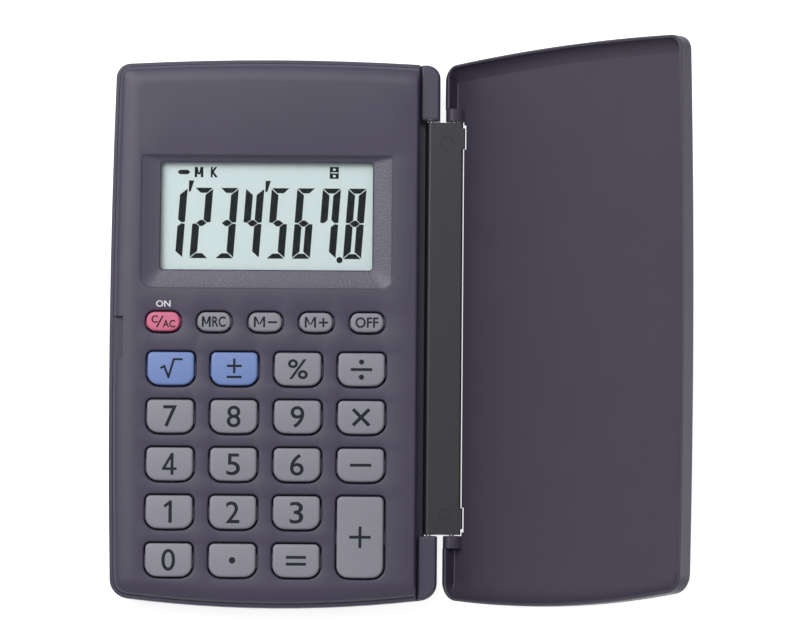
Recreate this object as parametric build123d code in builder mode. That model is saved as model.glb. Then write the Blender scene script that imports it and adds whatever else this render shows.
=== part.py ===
from build123d import *
import math
import os

# Folding pocket calculator with a double-hinged hard lid.
# +X points to the hinge side, +Y to the display end, +Z out of the keys.
# The origin is the middle of the flat rear face. Sizes are in millimetres.

# Outline that the case and the lid share
body_length = 127.0
body_width = 76.0
top_bow = 1.17
bottom_bow = 2.5
side_bow = 0.9
top_corner = 3.4
bottom_corner = 4.4

# Case heights above the resting face
closed_height = 10.4
face_height = 7.4
seam_height = 4.8
lip_height = 5.2
floor_thickness = 1.2
face_thickness = 1.2

# Case walls and the rolled edge of the face
lip_width = 0.8
rear_wall = 1.6
front_wall = 1.2
floor_round = 1.0
lip_round = 0.25
roll_width = 5.2
roll_radius = 12.0
hinge_bay = 4.8
hinge_wall_round = 0.5
cut_corner = 0.8
least_corner = 0.3
shell_play = 0.05

# Double hinge: one axis on the case, one on the lid
axis_height = 2.95
axis_distance = 5.35
case_lug_radius = 2.05
lid_lug_radius = 2.1
lid_rest_angle = 45.0
lug_top_length = 13.9
lug_bottom_length = 16.8
lug_groove = 3.3
pin_radius = 0.6
pin_play = 0.05
pin_seat = 2.4
pin_reach = 2.3

# Hinge spine
spine_gap = 0.4
spine_barrel = 1.35
spine_thickness = 2.0
spine_end = 2.05
spine_end_round = 0.5
tab_length = 4.8
tab_reach = 0.45
tab_rise = 0.25
tab_inset = 1.3
tab_width = 0.95
ejector_radius = 1.35
ejector_depth = 0.08
ejector_inset = 4.6
ejector_share = 0.68
spine_lip = 0.95
spine_lip_height = 1.3

# Lid, measured from its own axis
lid_outside = 2.1
lid_inside = 1.0
lid_rim = 1.85
lid_rim_width = 0.6
lid_edge_round = 0.8
lid_cove = 2.1
lid_cutout = 2.35
lid_boss_radius = 2.0
lid_boss_length = 2.9
lid_play = 0.3
tab_play = 0.45

# Keys, set out from the case's edges and from the display
key_left_margin = 9.05
key_right_margin = 12.23
column_space = 3.84
row_drop = 6.975
key_foot_margin = 6.845
row_space = 3.27
big_columns = 4
big_rows = 5
key_top_corner = 1.2
key_bottom_corner = 2.5
key_bow = 0.25
small_left_margin = 8.7
small_right_margin = 12.64
small_space = 4.04
small_drop = 12.3
small_height = 4.55
small_count = 5
small_corner = 1.9
key_gap = 0.3
key_rise = 0.8
key_crown = 45.0
key_edge = 0.175
key_lip = 0.6
key_lip_height = 0.6
key_lip_length = 3.2
key_play = 0.3
plunger_width = 3.0
dome_play = 0.1

# Display
window_left_margin = 11.6
window_right_margin = 15.45
window_head_margin = 24.1
window_height = 24.95
bezel_left = 4.4
bezel_right = 4.55
bezel_top = 1.4
bezel_bottom = 4.4
bezel_depth = 1.1
bezel_corner = 3.0
window_rim = 0.6
window_corner = 0.4
lens_margin = 1.2
lens_thickness = 0.8
glass_thickness = 0.55
glass_ledge = 2.4
reflector_thickness = 0.15
frame_wall = 1.6
frame_corner = 0.8
frame_play = 0.2
strip_width = 1.8
strip_inset = 2.0

# Nail recess in the case's free edge
notch_top = 3.5
notch_bottom = -6.4
notch_inset = 3.25
notch_height = 5.4
notch_wall = 1.2

# Board, rubber sheet and power
board_bottom = 2.2
board_thickness = 0.8
board_left_margin = 8.0
board_right_margin = 10.5
board_head = 5.1
board_foot_margin = 5.7
board_corner = 1.6
sheet_thickness = 0.4
sheet_margin = 2.6
dome_height = 1.1
dome_base = 3.0
dome_tip = 1.7
dome_sides = 8
chip_radius = 4.5
chip_tip = 3.2
chip_height = 0.55
cell_radius = 5.8
cell_height = 3.05
cell_cap_radius = 4.8
cell_cap_height = 0.4
cell_x = 4.0
cell_margin = 11.1
contact_thickness = 0.2
contact_width = 3.0
solder_length = 1.2
cell_wall = 0.9
cell_mouth = 5.0
cell_play = 0.15

# Screws
screw_left_margin = 5.6
screw_right_margin = 8.1
screw_head_margin = 8.9
screw_foot_margin = 10.9
boss_radius = 2.0
boss_foot = 2.6
boss_crown = 0.6
screw_radius = 0.9
screw_head_radius = 1.7
screw_head_height = 0.9
screw_length = 4.2
head_depth = 1.4
screw_play = 0.05
board_screw_radius = 0.5
board_screw_length = 3.3
board_boss_radius = 1.25
board_head_radius = 1.0
board_head_height = 0.6
cross_width = 0.35
cross_depth = 0.4
board_post_radius = 1.4
post_inset_x = 4.2
post_inset_y = 2.8

os.makedirs("parts", exist_ok=True)

# Places worked out from the sizes above
left_edge = -body_width / 2
right_edge = body_width / 2
head_edge = body_length / 2
foot_edge = -body_length / 2
hinge_wall = right_edge - hinge_bay
axis_x = right_edge - case_lug_radius
lid_axis_x = axis_x + axis_distance
left_chord = left_edge + side_bow
top_corner_y = head_edge - top_bow
bottom_corner_y = foot_edge + bottom_bow
lug_top = head_edge - lug_top_length
lug_bottom = foot_edge + lug_bottom_length
spine_top = lug_top - spine_gap
spine_bottom = lug_bottom + spine_gap
window_left = left_edge + window_left_margin
window_right = right_edge - window_right_margin
window_top = head_edge - window_head_margin
window_bottom = window_top - window_height
face_underside = face_height - face_thickness
key_top = face_height + key_rise
key_foot = face_underside - key_play - key_lip_height
board_surface = board_bottom + board_thickness
sheet_surface = board_surface + sheet_thickness
dome_top = sheet_surface + dome_height
plunger_foot = dome_top + dome_play
window_level = face_height - bezel_depth
lens_top = window_level - window_rim
lens_bottom = lens_top - lens_thickness
small_row = window_bottom - small_drop
small_field = body_width - small_left_margin - small_right_margin
small_width = (small_field - (small_count - 1) * small_space) / small_count
small_start = left_edge + small_left_margin + small_width / 2
small_columns = [small_start + (small_width + small_space) * column for column in range(small_count)]
key_field = body_width - key_left_margin - key_right_margin
key_width = (key_field - (big_columns - 1) * column_space) / big_columns
key_start = left_edge + key_left_margin + key_width / 2
key_columns = [key_start + (key_width + column_space) * column for column in range(big_columns)]
key_head = small_row - row_drop
key_height = (key_head - foot_edge - key_foot_margin - (big_rows - 1) * row_space) / big_rows
key_pitch = key_height + row_space
row_y = [key_head - key_height / 2 - key_pitch * row for row in range(big_rows)]
tall_height = key_height + key_pitch
tall_y = (row_y[3] + row_y[4]) / 2
board_left = left_edge + board_left_margin
board_right = right_edge - board_right_margin
board_top = window_top + board_head
board_foot = foot_edge + board_foot_margin
cell_y = head_edge - cell_margin
case_screw_x = [left_edge + screw_left_margin, right_edge - screw_right_margin]
case_screw_y = [head_edge - screw_head_margin, foot_edge + screw_foot_margin]
screw_places = [(x, y) for x in case_screw_x for y in case_screw_y]
column_gap = [(a + b) / 2 for a, b in zip(key_columns, key_columns[1:])]
row_gap = [(a + b) / 2 for a, b in zip(row_y, row_y[1:])]
board_screws_at = [(x, y) for x in (column_gap[0], column_gap[2]) for y in (row_gap[0], row_gap[2])]
tab_places = [spine_top - tab_inset - tab_length / 2, spine_bottom + tab_inset + tab_length / 2]

# The lid's own frame: its origin is the lid's axis, x runs out along the lid
lean = math.radians(lid_rest_angle)
lid_out = (math.cos(lean), 0, math.sin(lean))
lid_up = (-math.sin(lean), 0, math.cos(lean))
lid_plane = Plane(origin=(lid_axis_x, 0, axis_height), x_dir=lid_out, z_dir=lid_up)
lid_section = Plane(origin=(lid_axis_x, 0, axis_height), x_dir=lid_out, z_dir=(0, -1, 0))


def finish(builder, name):
    builder.part.label = name
    export_step(builder.part, f"parts/{name}.step")


# Each bowed edge is part of a large circle: centre, radius, way out and chord
def edge_circle(chord, bow, crest, out):
    radius = (chord**2 / 4 + bow**2) / (2 * bow)
    return (crest[0] - out[0] * radius, crest[1] - out[1] * radius), radius, out, chord


middle_x = (left_chord + right_edge) / 2
middle_y = (top_corner_y + bottom_corner_y) / 2
chord_x = right_edge - left_chord
chord_y = top_corner_y - bottom_corner_y
edge_circles = [
    edge_circle(chord_x, top_bow, (middle_x, head_edge), (0, 1)),
    edge_circle(chord_x, bottom_bow, (middle_x, foot_edge), (0, -1)),
    edge_circle(chord_y, side_bow, (left_edge, middle_y), (-1, 0)),
]


# The outline, drawn in the case's frame or, mirrored, in the lid's
def shell_plan(inset, hinge_edge=right_edge, in_lid=False):
    def place(x, y):
        return (axis_x - x, y) if in_lid else (x, y)

    edge = min(hinge_edge, right_edge - inset)
    reach = 2 * body_width
    top_round = max(top_corner - inset, least_corner)
    bottom_round = max(bottom_corner - inset, least_corner)
    is_cut = hinge_edge < right_edge
    corners = [
        (left_chord, top_corner_y, top_round),
        (left_chord, bottom_corner_y, bottom_round),
        (edge, top_corner_y, cut_corner if is_cut else top_round),
        (edge, bottom_corner_y, cut_corner if is_cut else bottom_round),
    ]
    with BuildSketch(mode=Mode.PRIVATE) as plan:
        with Locations(place(edge - reach / 2, 0)):
            Rectangle(reach, 2 * body_length)
        for centre, radius, _, _ in edge_circles:
            with Locations(place(*centre)):
                Circle(radius - inset, mode=Mode.INTERSECT)
        for x, y, corner_round in corners:
            vertex = plan.vertices().sort_by_distance((*place(x, y), 0))[0]
            fillet(vertex, corner_round)
    return plan.sketch


# A ring-shaped cutter that rolls the face down along one bowed edge
def roll_cutter(centre, radius, out, chord):
    half = math.degrees(math.asin(chord / 2 / radius)) + math.degrees(roll_width / radius)
    start = math.atan2(out[1], out[0]) - math.radians(half)
    along = (math.cos(start), math.sin(start), 0)
    flat_edge = radius - roll_width
    spread = roll_width + shell_play
    turn = math.asin(spread / roll_radius)
    drop = roll_radius * (1 - math.cos(turn))
    section = Plane(origin=(*centre, 0), x_dir=along, z_dir=(along[1], -along[0], 0))
    with BuildPart() as cutter:
        with BuildSketch(section):
            with BuildLine():
                JernArc((flat_edge, face_height), (1, 0), roll_radius, -math.degrees(turn))
                Polyline(
                    (flat_edge + spread, face_height - drop),
                    (flat_edge + spread, closed_height),
                    (flat_edge, closed_height),
                    (flat_edge, face_height),
                )
            make_face()
        revolve(axis=Axis((*centre, 0), (0, 0, 1)), revolution_arc=2 * half)
    return cutter.part


# Key outline: small round corners above, larger ones below, bowed foot
def key_plan(width, height, top_radius, bottom_radius, bow, grow=0.0):
    half_w = width / 2
    half_h = height / 2
    with BuildSketch(mode=Mode.PRIVATE) as plan:
        with BuildLine():
            Polyline(
                (-half_w, -half_h + bow),
                (-half_w, half_h),
                (half_w, half_h),
                (half_w, -half_h + bow),
            )
            ThreePointArc((half_w, -half_h + bow), (0, -half_h), (-half_w, -half_h + bow))
        make_face()
        fillet(plan.vertices().group_by(Axis.Y)[-1], top_radius)
        fillet(plan.vertices().group_by(Axis.Y)[0], bottom_radius)
        if grow > 0:
            offset(amount=grow)
    return plan.sketch


big_key = key_plan(key_width, key_height, key_top_corner, key_bottom_corner, key_bow)
tall_key = key_plan(key_width, tall_height, key_top_corner, key_bottom_corner, key_bow)
small_key = key_plan(small_width, small_height, small_corner, small_corner, key_bow)
big_hole = key_plan(key_width, key_height, key_top_corner, key_bottom_corner, key_bow, key_gap)
tall_hole = key_plan(key_width, tall_height, key_top_corner, key_bottom_corner, key_bow, key_gap)
small_hole = key_plan(small_width, small_height, small_corner, small_corner, key_bow, key_gap)

# Every key: its name, place, outline and hole
key_table = {
    "key_clear": (small_columns[0], small_row, "small"),
    "key_recall": (small_columns[1], small_row, "small"),
    "key_memory_minus": (small_columns[2], small_row, "small"),
    "key_memory_plus": (small_columns[3], small_row, "small"),
    "key_off": (small_columns[4], small_row, "small"),
    "key_root": (key_columns[0], row_y[0], "big"),
    "key_sign": (key_columns[1], row_y[0], "big"),
    "key_percent": (key_columns[2], row_y[0], "big"),
    "key_divide": (key_columns[3], row_y[0], "big"),
    "key_7": (key_columns[0], row_y[1], "big"),
    "key_8": (key_columns[1], row_y[1], "big"),
    "key_9": (key_columns[2], row_y[1], "big"),
    "key_times": (key_columns[3], row_y[1], "big"),
    "key_4": (key_columns[0], row_y[2], "big"),
    "key_5": (key_columns[1], row_y[2], "big"),
    "key_6": (key_columns[2], row_y[2], "big"),
    "key_minus": (key_columns[3], row_y[2], "big"),
    "key_1": (key_columns[0], row_y[3], "big"),
    "key_2": (key_columns[1], row_y[3], "big"),
    "key_3": (key_columns[2], row_y[3], "big"),
    "key_plus": (key_columns[3], tall_y, "tall"),
    "key_0": (key_columns[0], row_y[4], "big"),
    "key_point": (key_columns[1], row_y[4], "big"),
    "key_equals": (key_columns[2], row_y[4], "big"),
}
key_shapes = {
    "big": (big_key, big_hole, key_width, key_height),
    "tall": (tall_key, tall_hole, key_width, tall_height),
    "small": (small_key, small_hole, small_width, small_height),
}

case_plan = shell_plan(0)
rear_cavity_plan = shell_plan(rear_wall, hinge_wall - front_wall)
rebate_plan = shell_plan(lip_width, hinge_wall + shell_play)
front_plan = shell_plan(lip_width + shell_play, hinge_wall)
skirt_cavity_plan = shell_plan(lip_width + front_wall, hinge_wall - front_wall)
face_cavity_plan = shell_plan(lip_width + 2 * front_wall, hinge_wall - front_wall)

# Rear shell: tray with a lip, two hinge lugs and four screw pillars
with BuildPart() as rear_case:
    with BuildSketch():
        add(case_plan)
    extrude(amount=lip_height)
    fillet(rear_case.edges().group_by(Axis.Z)[0], floor_round)
    fillet(rear_case.edges().group_by(Axis.Z)[-1], lip_round)
    with BuildSketch(Plane.XY.offset(floor_thickness)):
        add(rear_cavity_plan)
    extrude(amount=lip_height, mode=Mode.SUBTRACT)
    with BuildSketch(Plane.XY.offset(seam_height)):
        add(rebate_plan)
    extrude(amount=lip_height, mode=Mode.SUBTRACT)
    # the lugs are round bars about the case's hinge axis
    with BuildSketch(Plane.XZ):
        with Locations((hinge_wall, lug_groove)):
            Rectangle(body_width, lip_height, align=(Align.MIN, Align.MIN))
        with Locations((axis_x, axis_height)):
            Circle(case_lug_radius, mode=Mode.SUBTRACT)
    extrude(amount=body_length, both=True, mode=Mode.SUBTRACT)
    # open bay for the spine, with a thin lip left under its barrel
    bay_length = lug_top - lug_bottom
    bay_middle = (lug_top + lug_bottom) / 2
    with Locations((hinge_wall, bay_middle, spine_lip_height)):
        Box(
            body_width, bay_length, closed_height,
            align=(Align.MIN, Align.CENTER, Align.MIN), mode=Mode.SUBTRACT,
        )
    with Locations((axis_x - spine_lip, bay_middle, -closed_height)):
        Box(
            body_width, bay_length, 2 * closed_height,
            align=(Align.MIN, Align.CENTER, Align.MIN), mode=Mode.SUBTRACT,
        )
    # blind pin bores in the lug ends
    for lug_end, way in ((lug_top, -1), (lug_bottom, 1)):
        with BuildSketch(Plane(origin=(axis_x, lug_end, axis_height), z_dir=(0, -way, 0))):
            Circle(pin_radius)
        extrude(amount=pin_seat, mode=Mode.SUBTRACT)
    # screw pillars, counterbored from outside
    with BuildSketch(Plane.XY.offset(floor_thickness)):
        with Locations(*screw_places):
            Circle(boss_radius)
    extrude(amount=boss_foot - floor_thickness)
    with BuildSketch():
        with Locations(*screw_places):
            Circle(screw_head_radius + 2 * screw_play)
    extrude(amount=head_depth, mode=Mode.SUBTRACT)
    with BuildSketch():
        with Locations(*screw_places):
            Circle(screw_radius + 2 * screw_play)
    extrude(amount=boss_foot, mode=Mode.SUBTRACT)
    # posts that carry the board
    post_x = [board_left + post_inset_x, board_right - post_inset_x]
    post_y = [board_top - post_inset_y, (board_top + board_foot) / 2, board_foot + post_inset_y]
    with BuildSketch(Plane.XY.offset(floor_thickness)):
        with Locations(*[(x, y) for x in post_x for y in post_y]):
            Circle(board_post_radius)
    extrude(amount=board_bottom - floor_thickness)
    # round wall that holds the button cell, open towards the board
    with BuildSketch(Plane.XY.offset(floor_thickness)):
        with Locations((cell_x, cell_y)):
            Circle(cell_radius + cell_play + cell_wall)
            Circle(cell_radius + cell_play, mode=Mode.SUBTRACT)
        with Locations((cell_x, cell_y - cell_radius)):
            Rectangle(cell_mouth, 2 * cell_radius, mode=Mode.SUBTRACT)
    extrude(amount=cell_height)
finish(rear_case, "rear_case")

# Front shell: rolled face, key holes, sloped display bezel and nail recess
roll_cutters = [roll_cutter(*circle) for circle in edge_circles]
with BuildPart() as front_case:
    with BuildSketch(Plane.XY.offset(seam_height)):
        add(front_plan)
    extrude(amount=face_height - seam_height)
    top_edges = front_case.edges().group_by(Axis.Z)[-1]
    fillet(top_edges.filter_by(Axis.Y), hinge_wall_round)
    for cutter in roll_cutters:
        add(cutter, mode=Mode.SUBTRACT)
    with BuildSketch(Plane.XY.offset(seam_height)):
        add(skirt_cavity_plan)
    extrude(amount=face_underside - seam_height - lip_width, mode=Mode.SUBTRACT)
    with BuildSketch(Plane.XY.offset(seam_height)):
        add(face_cavity_plan)
    extrude(amount=face_underside - seam_height, mode=Mode.SUBTRACT)
    # solid seat for the nail recess
    with BuildSketch(Plane.XY.offset(seam_height)):
        with Locations((left_edge + notch_inset + notch_wall, (notch_top + notch_bottom) / 2)):
            Rectangle(
                notch_inset, notch_top - notch_bottom + 2 * notch_wall,
                align=(Align.MAX, Align.CENTER),
            )
    extrude(amount=face_underside - seam_height)
    # thicker floor under the sloped bezel
    bezel_w = window_right - window_left + bezel_left + bezel_right
    bezel_h = window_top - window_bottom + bezel_top + bezel_bottom
    bezel_x = (window_left - bezel_left + window_right + bezel_right) / 2
    bezel_y = (window_top + bezel_top + window_bottom - bezel_bottom) / 2
    with BuildSketch(Plane.XY.offset(lens_top)):
        with Locations((bezel_x, bezel_y)):
            Rectangle(bezel_w, bezel_h)
    extrude(amount=face_underside - lens_top)
    # sloped bezel down to the window
    window_w = window_right - window_left
    window_h = window_top - window_bottom
    window_x = (window_left + window_right) / 2
    window_y = (window_top + window_bottom) / 2
    with BuildSketch(Plane.XY.offset(face_height)) as bezel_mouth:
        with Locations((bezel_x, bezel_y)):
            Rectangle(bezel_w, bezel_h)
        fillet(bezel_mouth.vertices().group_by(Axis.Y)[0], bezel_corner)
        fillet(bezel_mouth.vertices().group_by(Axis.Y)[-1], window_corner)
    with BuildSketch(Plane.XY.offset(window_level)) as bezel_foot:
        with Locations((window_x, window_y)):
            Rectangle(window_w, window_h)
        fillet(bezel_foot.vertices(), window_corner)
    loft(ruled=True, mode=Mode.SUBTRACT)
    with BuildSketch(Plane.XY.offset(lens_top)) as window_hole:
        with Locations((window_x, window_y)):
            Rectangle(window_w, window_h)
        fillet(window_hole.vertices(), window_corner)
    extrude(amount=face_thickness, mode=Mode.SUBTRACT)
    # key holes
    with BuildSketch(Plane.XY.offset(face_underside)):
        for x, y, shape in key_table.values():
            with Locations((x, y)):
                add(key_shapes[shape][1])
    extrude(amount=face_thickness, mode=Mode.SUBTRACT)
    # nail recess under the closed lid's free edge
    with BuildSketch(Plane.XY.offset(notch_height)):
        with Locations((left_edge, (notch_top + notch_bottom) / 2)):
            Rectangle(2 * notch_inset, notch_top - notch_bottom)
    extrude(amount=closed_height - notch_height, mode=Mode.SUBTRACT)
    # screw bosses down to the rear pillars, and board bosses between the keys
    with BuildSketch(Plane.XY.offset(boss_foot)):
        with Locations(*screw_places):
            Circle(boss_radius)
    extrude(amount=face_underside - boss_foot)
    with BuildSketch(Plane.XY.offset(board_surface)):
        with Locations(*board_screws_at):
            Circle(board_boss_radius)
    extrude(amount=face_underside - board_surface)
    with BuildSketch(Plane.XY.offset(boss_foot)):
        with Locations(*screw_places):
            Circle(screw_radius + screw_play)
        with Locations(*board_screws_at):
            Circle(board_screw_radius + screw_play)
    extrude(amount=face_underside - boss_foot - boss_crown, mode=Mode.SUBTRACT)
finish(front_case, "front_case")


# One key: crowned cap, two retaining lips and a plunger
def make_key(name, x, y, shape):
    plan, _, width, height = key_shapes[shape]
    with BuildPart() as key:
        with BuildSketch(Plane.XY.offset(key_foot)):
            with Locations((x, y)):
                add(plan)
        extrude(amount=key_top - key_foot)
        with BuildSketch(Plane(origin=(x, y, key_top - key_crown), x_dir=(0, 1, 0), z_dir=(1, 0, 0))):
            Circle(key_crown)
        extrude(amount=width, both=True, mode=Mode.INTERSECT)
        chamfer(key.edges().group_by(Axis.Z)[-1], key_edge)
        with BuildSketch(Plane.XY.offset(key_foot)):
            with Locations((x, y)):
                Rectangle(width + 2 * key_lip, min(key_lip_length, height / 2))
        extrude(amount=key_lip_height)
        with BuildSketch(Plane.XY.offset(plunger_foot)):
            with Locations((x, y)):
                Rectangle(plunger_width, plunger_width)
        extrude(amount=key_foot - plunger_foot)
    finish(key, name)


for key_name, (key_x, key_y, key_shape) in key_table.items():
    make_key(key_name, key_x, key_y, key_shape)

# Clear lens glued under the window's rim
lens_w = window_w + 2 * lens_margin
lens_h = window_h + 2 * lens_margin
with BuildPart() as display_lens:
    with BuildSketch(Plane.XY.offset(lens_bottom)) as lens_plan:
        with Locations((window_x, window_y)):
            Rectangle(lens_w, lens_h)
        fillet(lens_plan.vertices(), window_corner)
    extrude(amount=lens_thickness)
finish(display_lens, "display_lens")

# Liquid crystal panel: two glass plates, the front one longer to carry the contacts
glass_seam = lens_bottom - glass_thickness
glass_bottom = glass_seam - glass_thickness
with BuildPart() as display_panel:
    with BuildSketch(Plane.XY.offset(glass_seam)):
        with Locations((window_x, window_y)):
            Rectangle(lens_w, lens_h)
    extrude(amount=glass_thickness)
    with BuildSketch(Plane.XY.offset(glass_bottom)):
        with Locations((window_x, window_y + glass_ledge / 2)):
            Rectangle(lens_w, lens_h - glass_ledge)
    extrude(amount=glass_thickness)
finish(display_panel, "display_panel")

# Pale reflector sheet behind the panel
with BuildPart() as display_reflector:
    with BuildSketch(Plane.XY.offset(glass_bottom - reflector_thickness)):
        with Locations((window_x, window_y + glass_ledge / 2)):
            Rectangle(lens_w - lens_margin, lens_h - glass_ledge - lens_margin)
    extrude(amount=reflector_thickness)
finish(display_reflector, "display_reflector")

# Rubber contact strip between the glass ledge and the board
with BuildPart() as contact_strip:
    with BuildSketch(Plane.XY.offset(board_surface)):
        with Locations((window_x, window_y - lens_h / 2 + glass_ledge / 2)):
            Rectangle(lens_w - 2 * strip_inset, strip_width)
    extrude(amount=glass_seam - board_surface)
finish(contact_strip, "contact_strip")

# Frame that holds the lens and panel to the board
with BuildPart() as display_frame:
    with BuildSketch(Plane.XY.offset(board_surface)):
        with Locations((window_x, window_y)):
            Rectangle(lens_w + 2 * (frame_play + frame_wall), lens_h + 2 * (frame_play + frame_wall))
            Rectangle(lens_w + 2 * frame_play, lens_h + 2 * frame_play, mode=Mode.SUBTRACT)
    extrude(amount=lens_top - board_surface)
    outer_corners = display_frame.edges().filter_by(Axis.Z).sort_by_distance((window_x, window_y, 0))[4:]
    fillet(outer_corners, frame_corner)
finish(display_frame, "display_frame")

# Circuit board
with BuildPart() as circuit_board:
    with BuildSketch(Plane.XY.offset(board_bottom)) as board_plan:
        with Locations(((board_left + board_right) / 2, (board_top + board_foot) / 2)):
            Rectangle(board_right - board_left, board_top - board_foot)
        chamfer(board_plan.vertices(), board_corner)
        with Locations(*board_screws_at):
            Circle(board_screw_radius + screw_play, mode=Mode.SUBTRACT)
    extrude(amount=board_thickness)
finish(circuit_board, "circuit_board")

# Chip under a cap of resin on the board
with BuildPart() as chip_cover:
    with Locations((window_x, window_y, board_surface + chip_height / 2)):
        Cone(chip_radius, chip_tip, chip_height)
finish(chip_cover, "chip_cover")

# Rubber key sheet with one dome under each key
sheet_left = key_columns[0] - key_width / 2 - key_lip
sheet_right = key_columns[-1] + key_width / 2 + key_lip
sheet_head = small_row + sheet_margin
sheet_foot = row_y[-1] - key_height / 2
with BuildPart() as key_sheet:
    with BuildSketch(Plane.XY.offset(board_surface)):
        with Locations(((sheet_left + sheet_right) / 2, (sheet_head + sheet_foot) / 2)):
            Rectangle(sheet_right - sheet_left, sheet_head - sheet_foot)
        with Locations(*board_screws_at):
            Circle(board_boss_radius + shell_play, mode=Mode.SUBTRACT)
    extrude(amount=sheet_thickness)
    for x, y, shape in key_table.values():
        for level, radius in ((sheet_surface, min(dome_base, key_shapes[shape][3] / 2)), (dome_top, dome_tip)):
            with BuildSketch(Plane.XY.offset(level)):
                with Locations((x, y)):
                    RegularPolygon(radius, dome_sides)
        loft(ruled=True)
finish(key_sheet, "key_sheet")

# Button cell: can with a smaller cap on its foot
cell_foot = floor_thickness + contact_thickness
with BuildPart() as button_cell:
    with Locations((cell_x, cell_y, cell_foot)):
        Cylinder(cell_cap_radius, cell_height, align=(Align.CENTER, Align.CENTER, Align.MIN))
    with Locations((cell_x, cell_y, cell_foot + cell_cap_height)):
        Cylinder(cell_radius, cell_height - cell_cap_height, align=(Align.CENTER, Align.CENTER, Align.MIN))
    chamfer(button_cell.edges().group_by(Axis.Z)[-1], cell_cap_height)
finish(button_cell, "button_cell")


# A bent strip of spring steel, drawn from the side and given its width
def make_contact(name, path):
    with BuildPart() as contact:
        with BuildSketch(Plane(origin=(cell_x, 0, 0), x_dir=(0, 1, 0), z_dir=(1, 0, 0))):
            with BuildLine():
                Polyline(*path, close=True)
            make_face()
        extrude(amount=contact_width / 2, both=True)
    finish(contact, name)


solder_y = board_top - solder_length
leg_y = solder_y + solder_length / 2
cell_crown = cell_foot + cell_height
make_contact("top_contact", [
    (cell_y, cell_crown),
    (cell_y, cell_crown + contact_thickness),
    (leg_y, cell_crown + contact_thickness),
    (leg_y, board_surface + contact_thickness),
    (leg_y - solder_length, board_surface + contact_thickness),
    (leg_y - solder_length, board_surface),
    (leg_y + contact_thickness, board_surface),
    (leg_y + contact_thickness, cell_crown),
])
make_contact("bottom_contact", [
    (cell_y + cell_radius / 2, floor_thickness),
    (cell_y + cell_radius / 2, cell_foot),
    (solder_y + contact_thickness, cell_foot),
    (solder_y + contact_thickness, board_bottom),
    (solder_y, board_bottom),
    (solder_y, floor_thickness),
])

# Case screws: pan heads seated in the rear counterbores, cross recesses
head_bottom = head_depth - screw_head_height
with BuildPart() as case_screws:
    with BuildSketch(Plane.XY.offset(head_bottom)):
        with Locations(*screw_places):
            Circle(screw_head_radius)
    extrude(amount=screw_head_height)
    with BuildSketch(Plane.XY.offset(head_depth)):
        with Locations(*screw_places):
            Circle(screw_radius)
    extrude(amount=screw_length - screw_head_height)
    with BuildSketch(Plane.XY.offset(head_bottom)):
        with Locations(*screw_places):
            Rectangle(2 * screw_radius, cross_width)
            Rectangle(cross_width, 2 * screw_radius)
    extrude(amount=cross_depth, mode=Mode.SUBTRACT)
finish(case_screws, "case_screws")

# Board screws, up through the board into the front shell's bosses
with BuildPart() as board_screws:
    with BuildSketch(Plane.XY.offset(board_bottom - board_head_height)):
        with Locations(*board_screws_at):
            Circle(board_head_radius)
    extrude(amount=board_head_height)
    with BuildSketch(Plane.XY.offset(board_bottom)):
        with Locations(*board_screws_at):
            Circle(board_screw_radius)
    extrude(amount=board_screw_length)
finish(board_screws, "board_screws")

# Hinge spine: flat link with a pivot barrel along each side
spine_length = spine_top - spine_bottom
with BuildPart() as hinge_spine:
    with BuildSketch(Plane(origin=(0, spine_bottom, 0), x_dir=(1, 0, 0), z_dir=(0, -1, 0))) as section:
        with Locations((axis_x, axis_height + spine_barrel)):
            Rectangle(
                axis_distance + spine_end, spine_thickness,
                align=(Align.MIN, Align.MAX),
            )
        fillet(section.vertices().group_by(Axis.X)[-1], spine_end_round)
        with Locations((axis_x, axis_height), (lid_axis_x, axis_height)):
            Circle(spine_barrel)
    extrude(amount=-spine_length)
    # tabs on the lid side
    tab_x = lid_axis_x + spine_end + tab_reach
    with BuildSketch(Plane.XY.offset(axis_height)) as tab_plan:
        for y in tab_places:
            with Locations((tab_x, y)):
                Rectangle(tab_width, tab_length, align=(Align.MAX, Align.CENTER))
    extrude(amount=spine_barrel + tab_rise)
    tab_edges = hinge_spine.edges().filter_by(Axis.Y).group_by(Axis.X)[-1].group_by(Axis.Z)[-1]
    chamfer(tab_edges, tab_rise)
    # ejector marks on the inner face
    with BuildSketch(Plane.XY.offset(axis_height + spine_barrel)):
        with Locations(
            (axis_x + axis_distance * ejector_share, spine_top - ejector_inset),
            (axis_x + axis_distance * ejector_share, spine_bottom + ejector_inset),
        ):
            Circle(ejector_radius)
    extrude(amount=-ejector_depth, mode=Mode.SUBTRACT)
    # running bores for the four pins
    for end, way in ((spine_top, 1), (spine_bottom, -1)):
        with BuildSketch(Plane(origin=(0, end, 0), x_dir=(1, 0, 0), z_dir=(0, -1, 0))):
            with Locations((axis_x, axis_height), (lid_axis_x, axis_height)):
                Circle(pin_radius + pin_play)
        extrude(amount=way * (pin_reach + lid_play), mode=Mode.SUBTRACT)
finish(hinge_spine, "hinge_spine")


# Two steel pins on one axis, each pressed into a lug and running in the spine
def make_pins(name, x, top_face, bottom_face):
    with BuildPart() as pins:
        for face, way, end in ((top_face, 1, spine_top), (bottom_face, -1, spine_bottom)):
            inner = end - way * pin_reach
            outer = face + way * pin_seat
            with BuildSketch(Plane(origin=(x, inner, axis_height), z_dir=(0, way, 0))):
                Circle(pin_radius)
            extrude(amount=abs(outer - inner))
    finish(pins, name)


boss_top = spine_top + lid_play
boss_bottom = spine_bottom - lid_play
make_pins("case_hinge_pins", axis_x, lug_top, lug_bottom)
make_pins("lid_hinge_pins", lid_axis_x, boss_top, boss_bottom)

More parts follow.
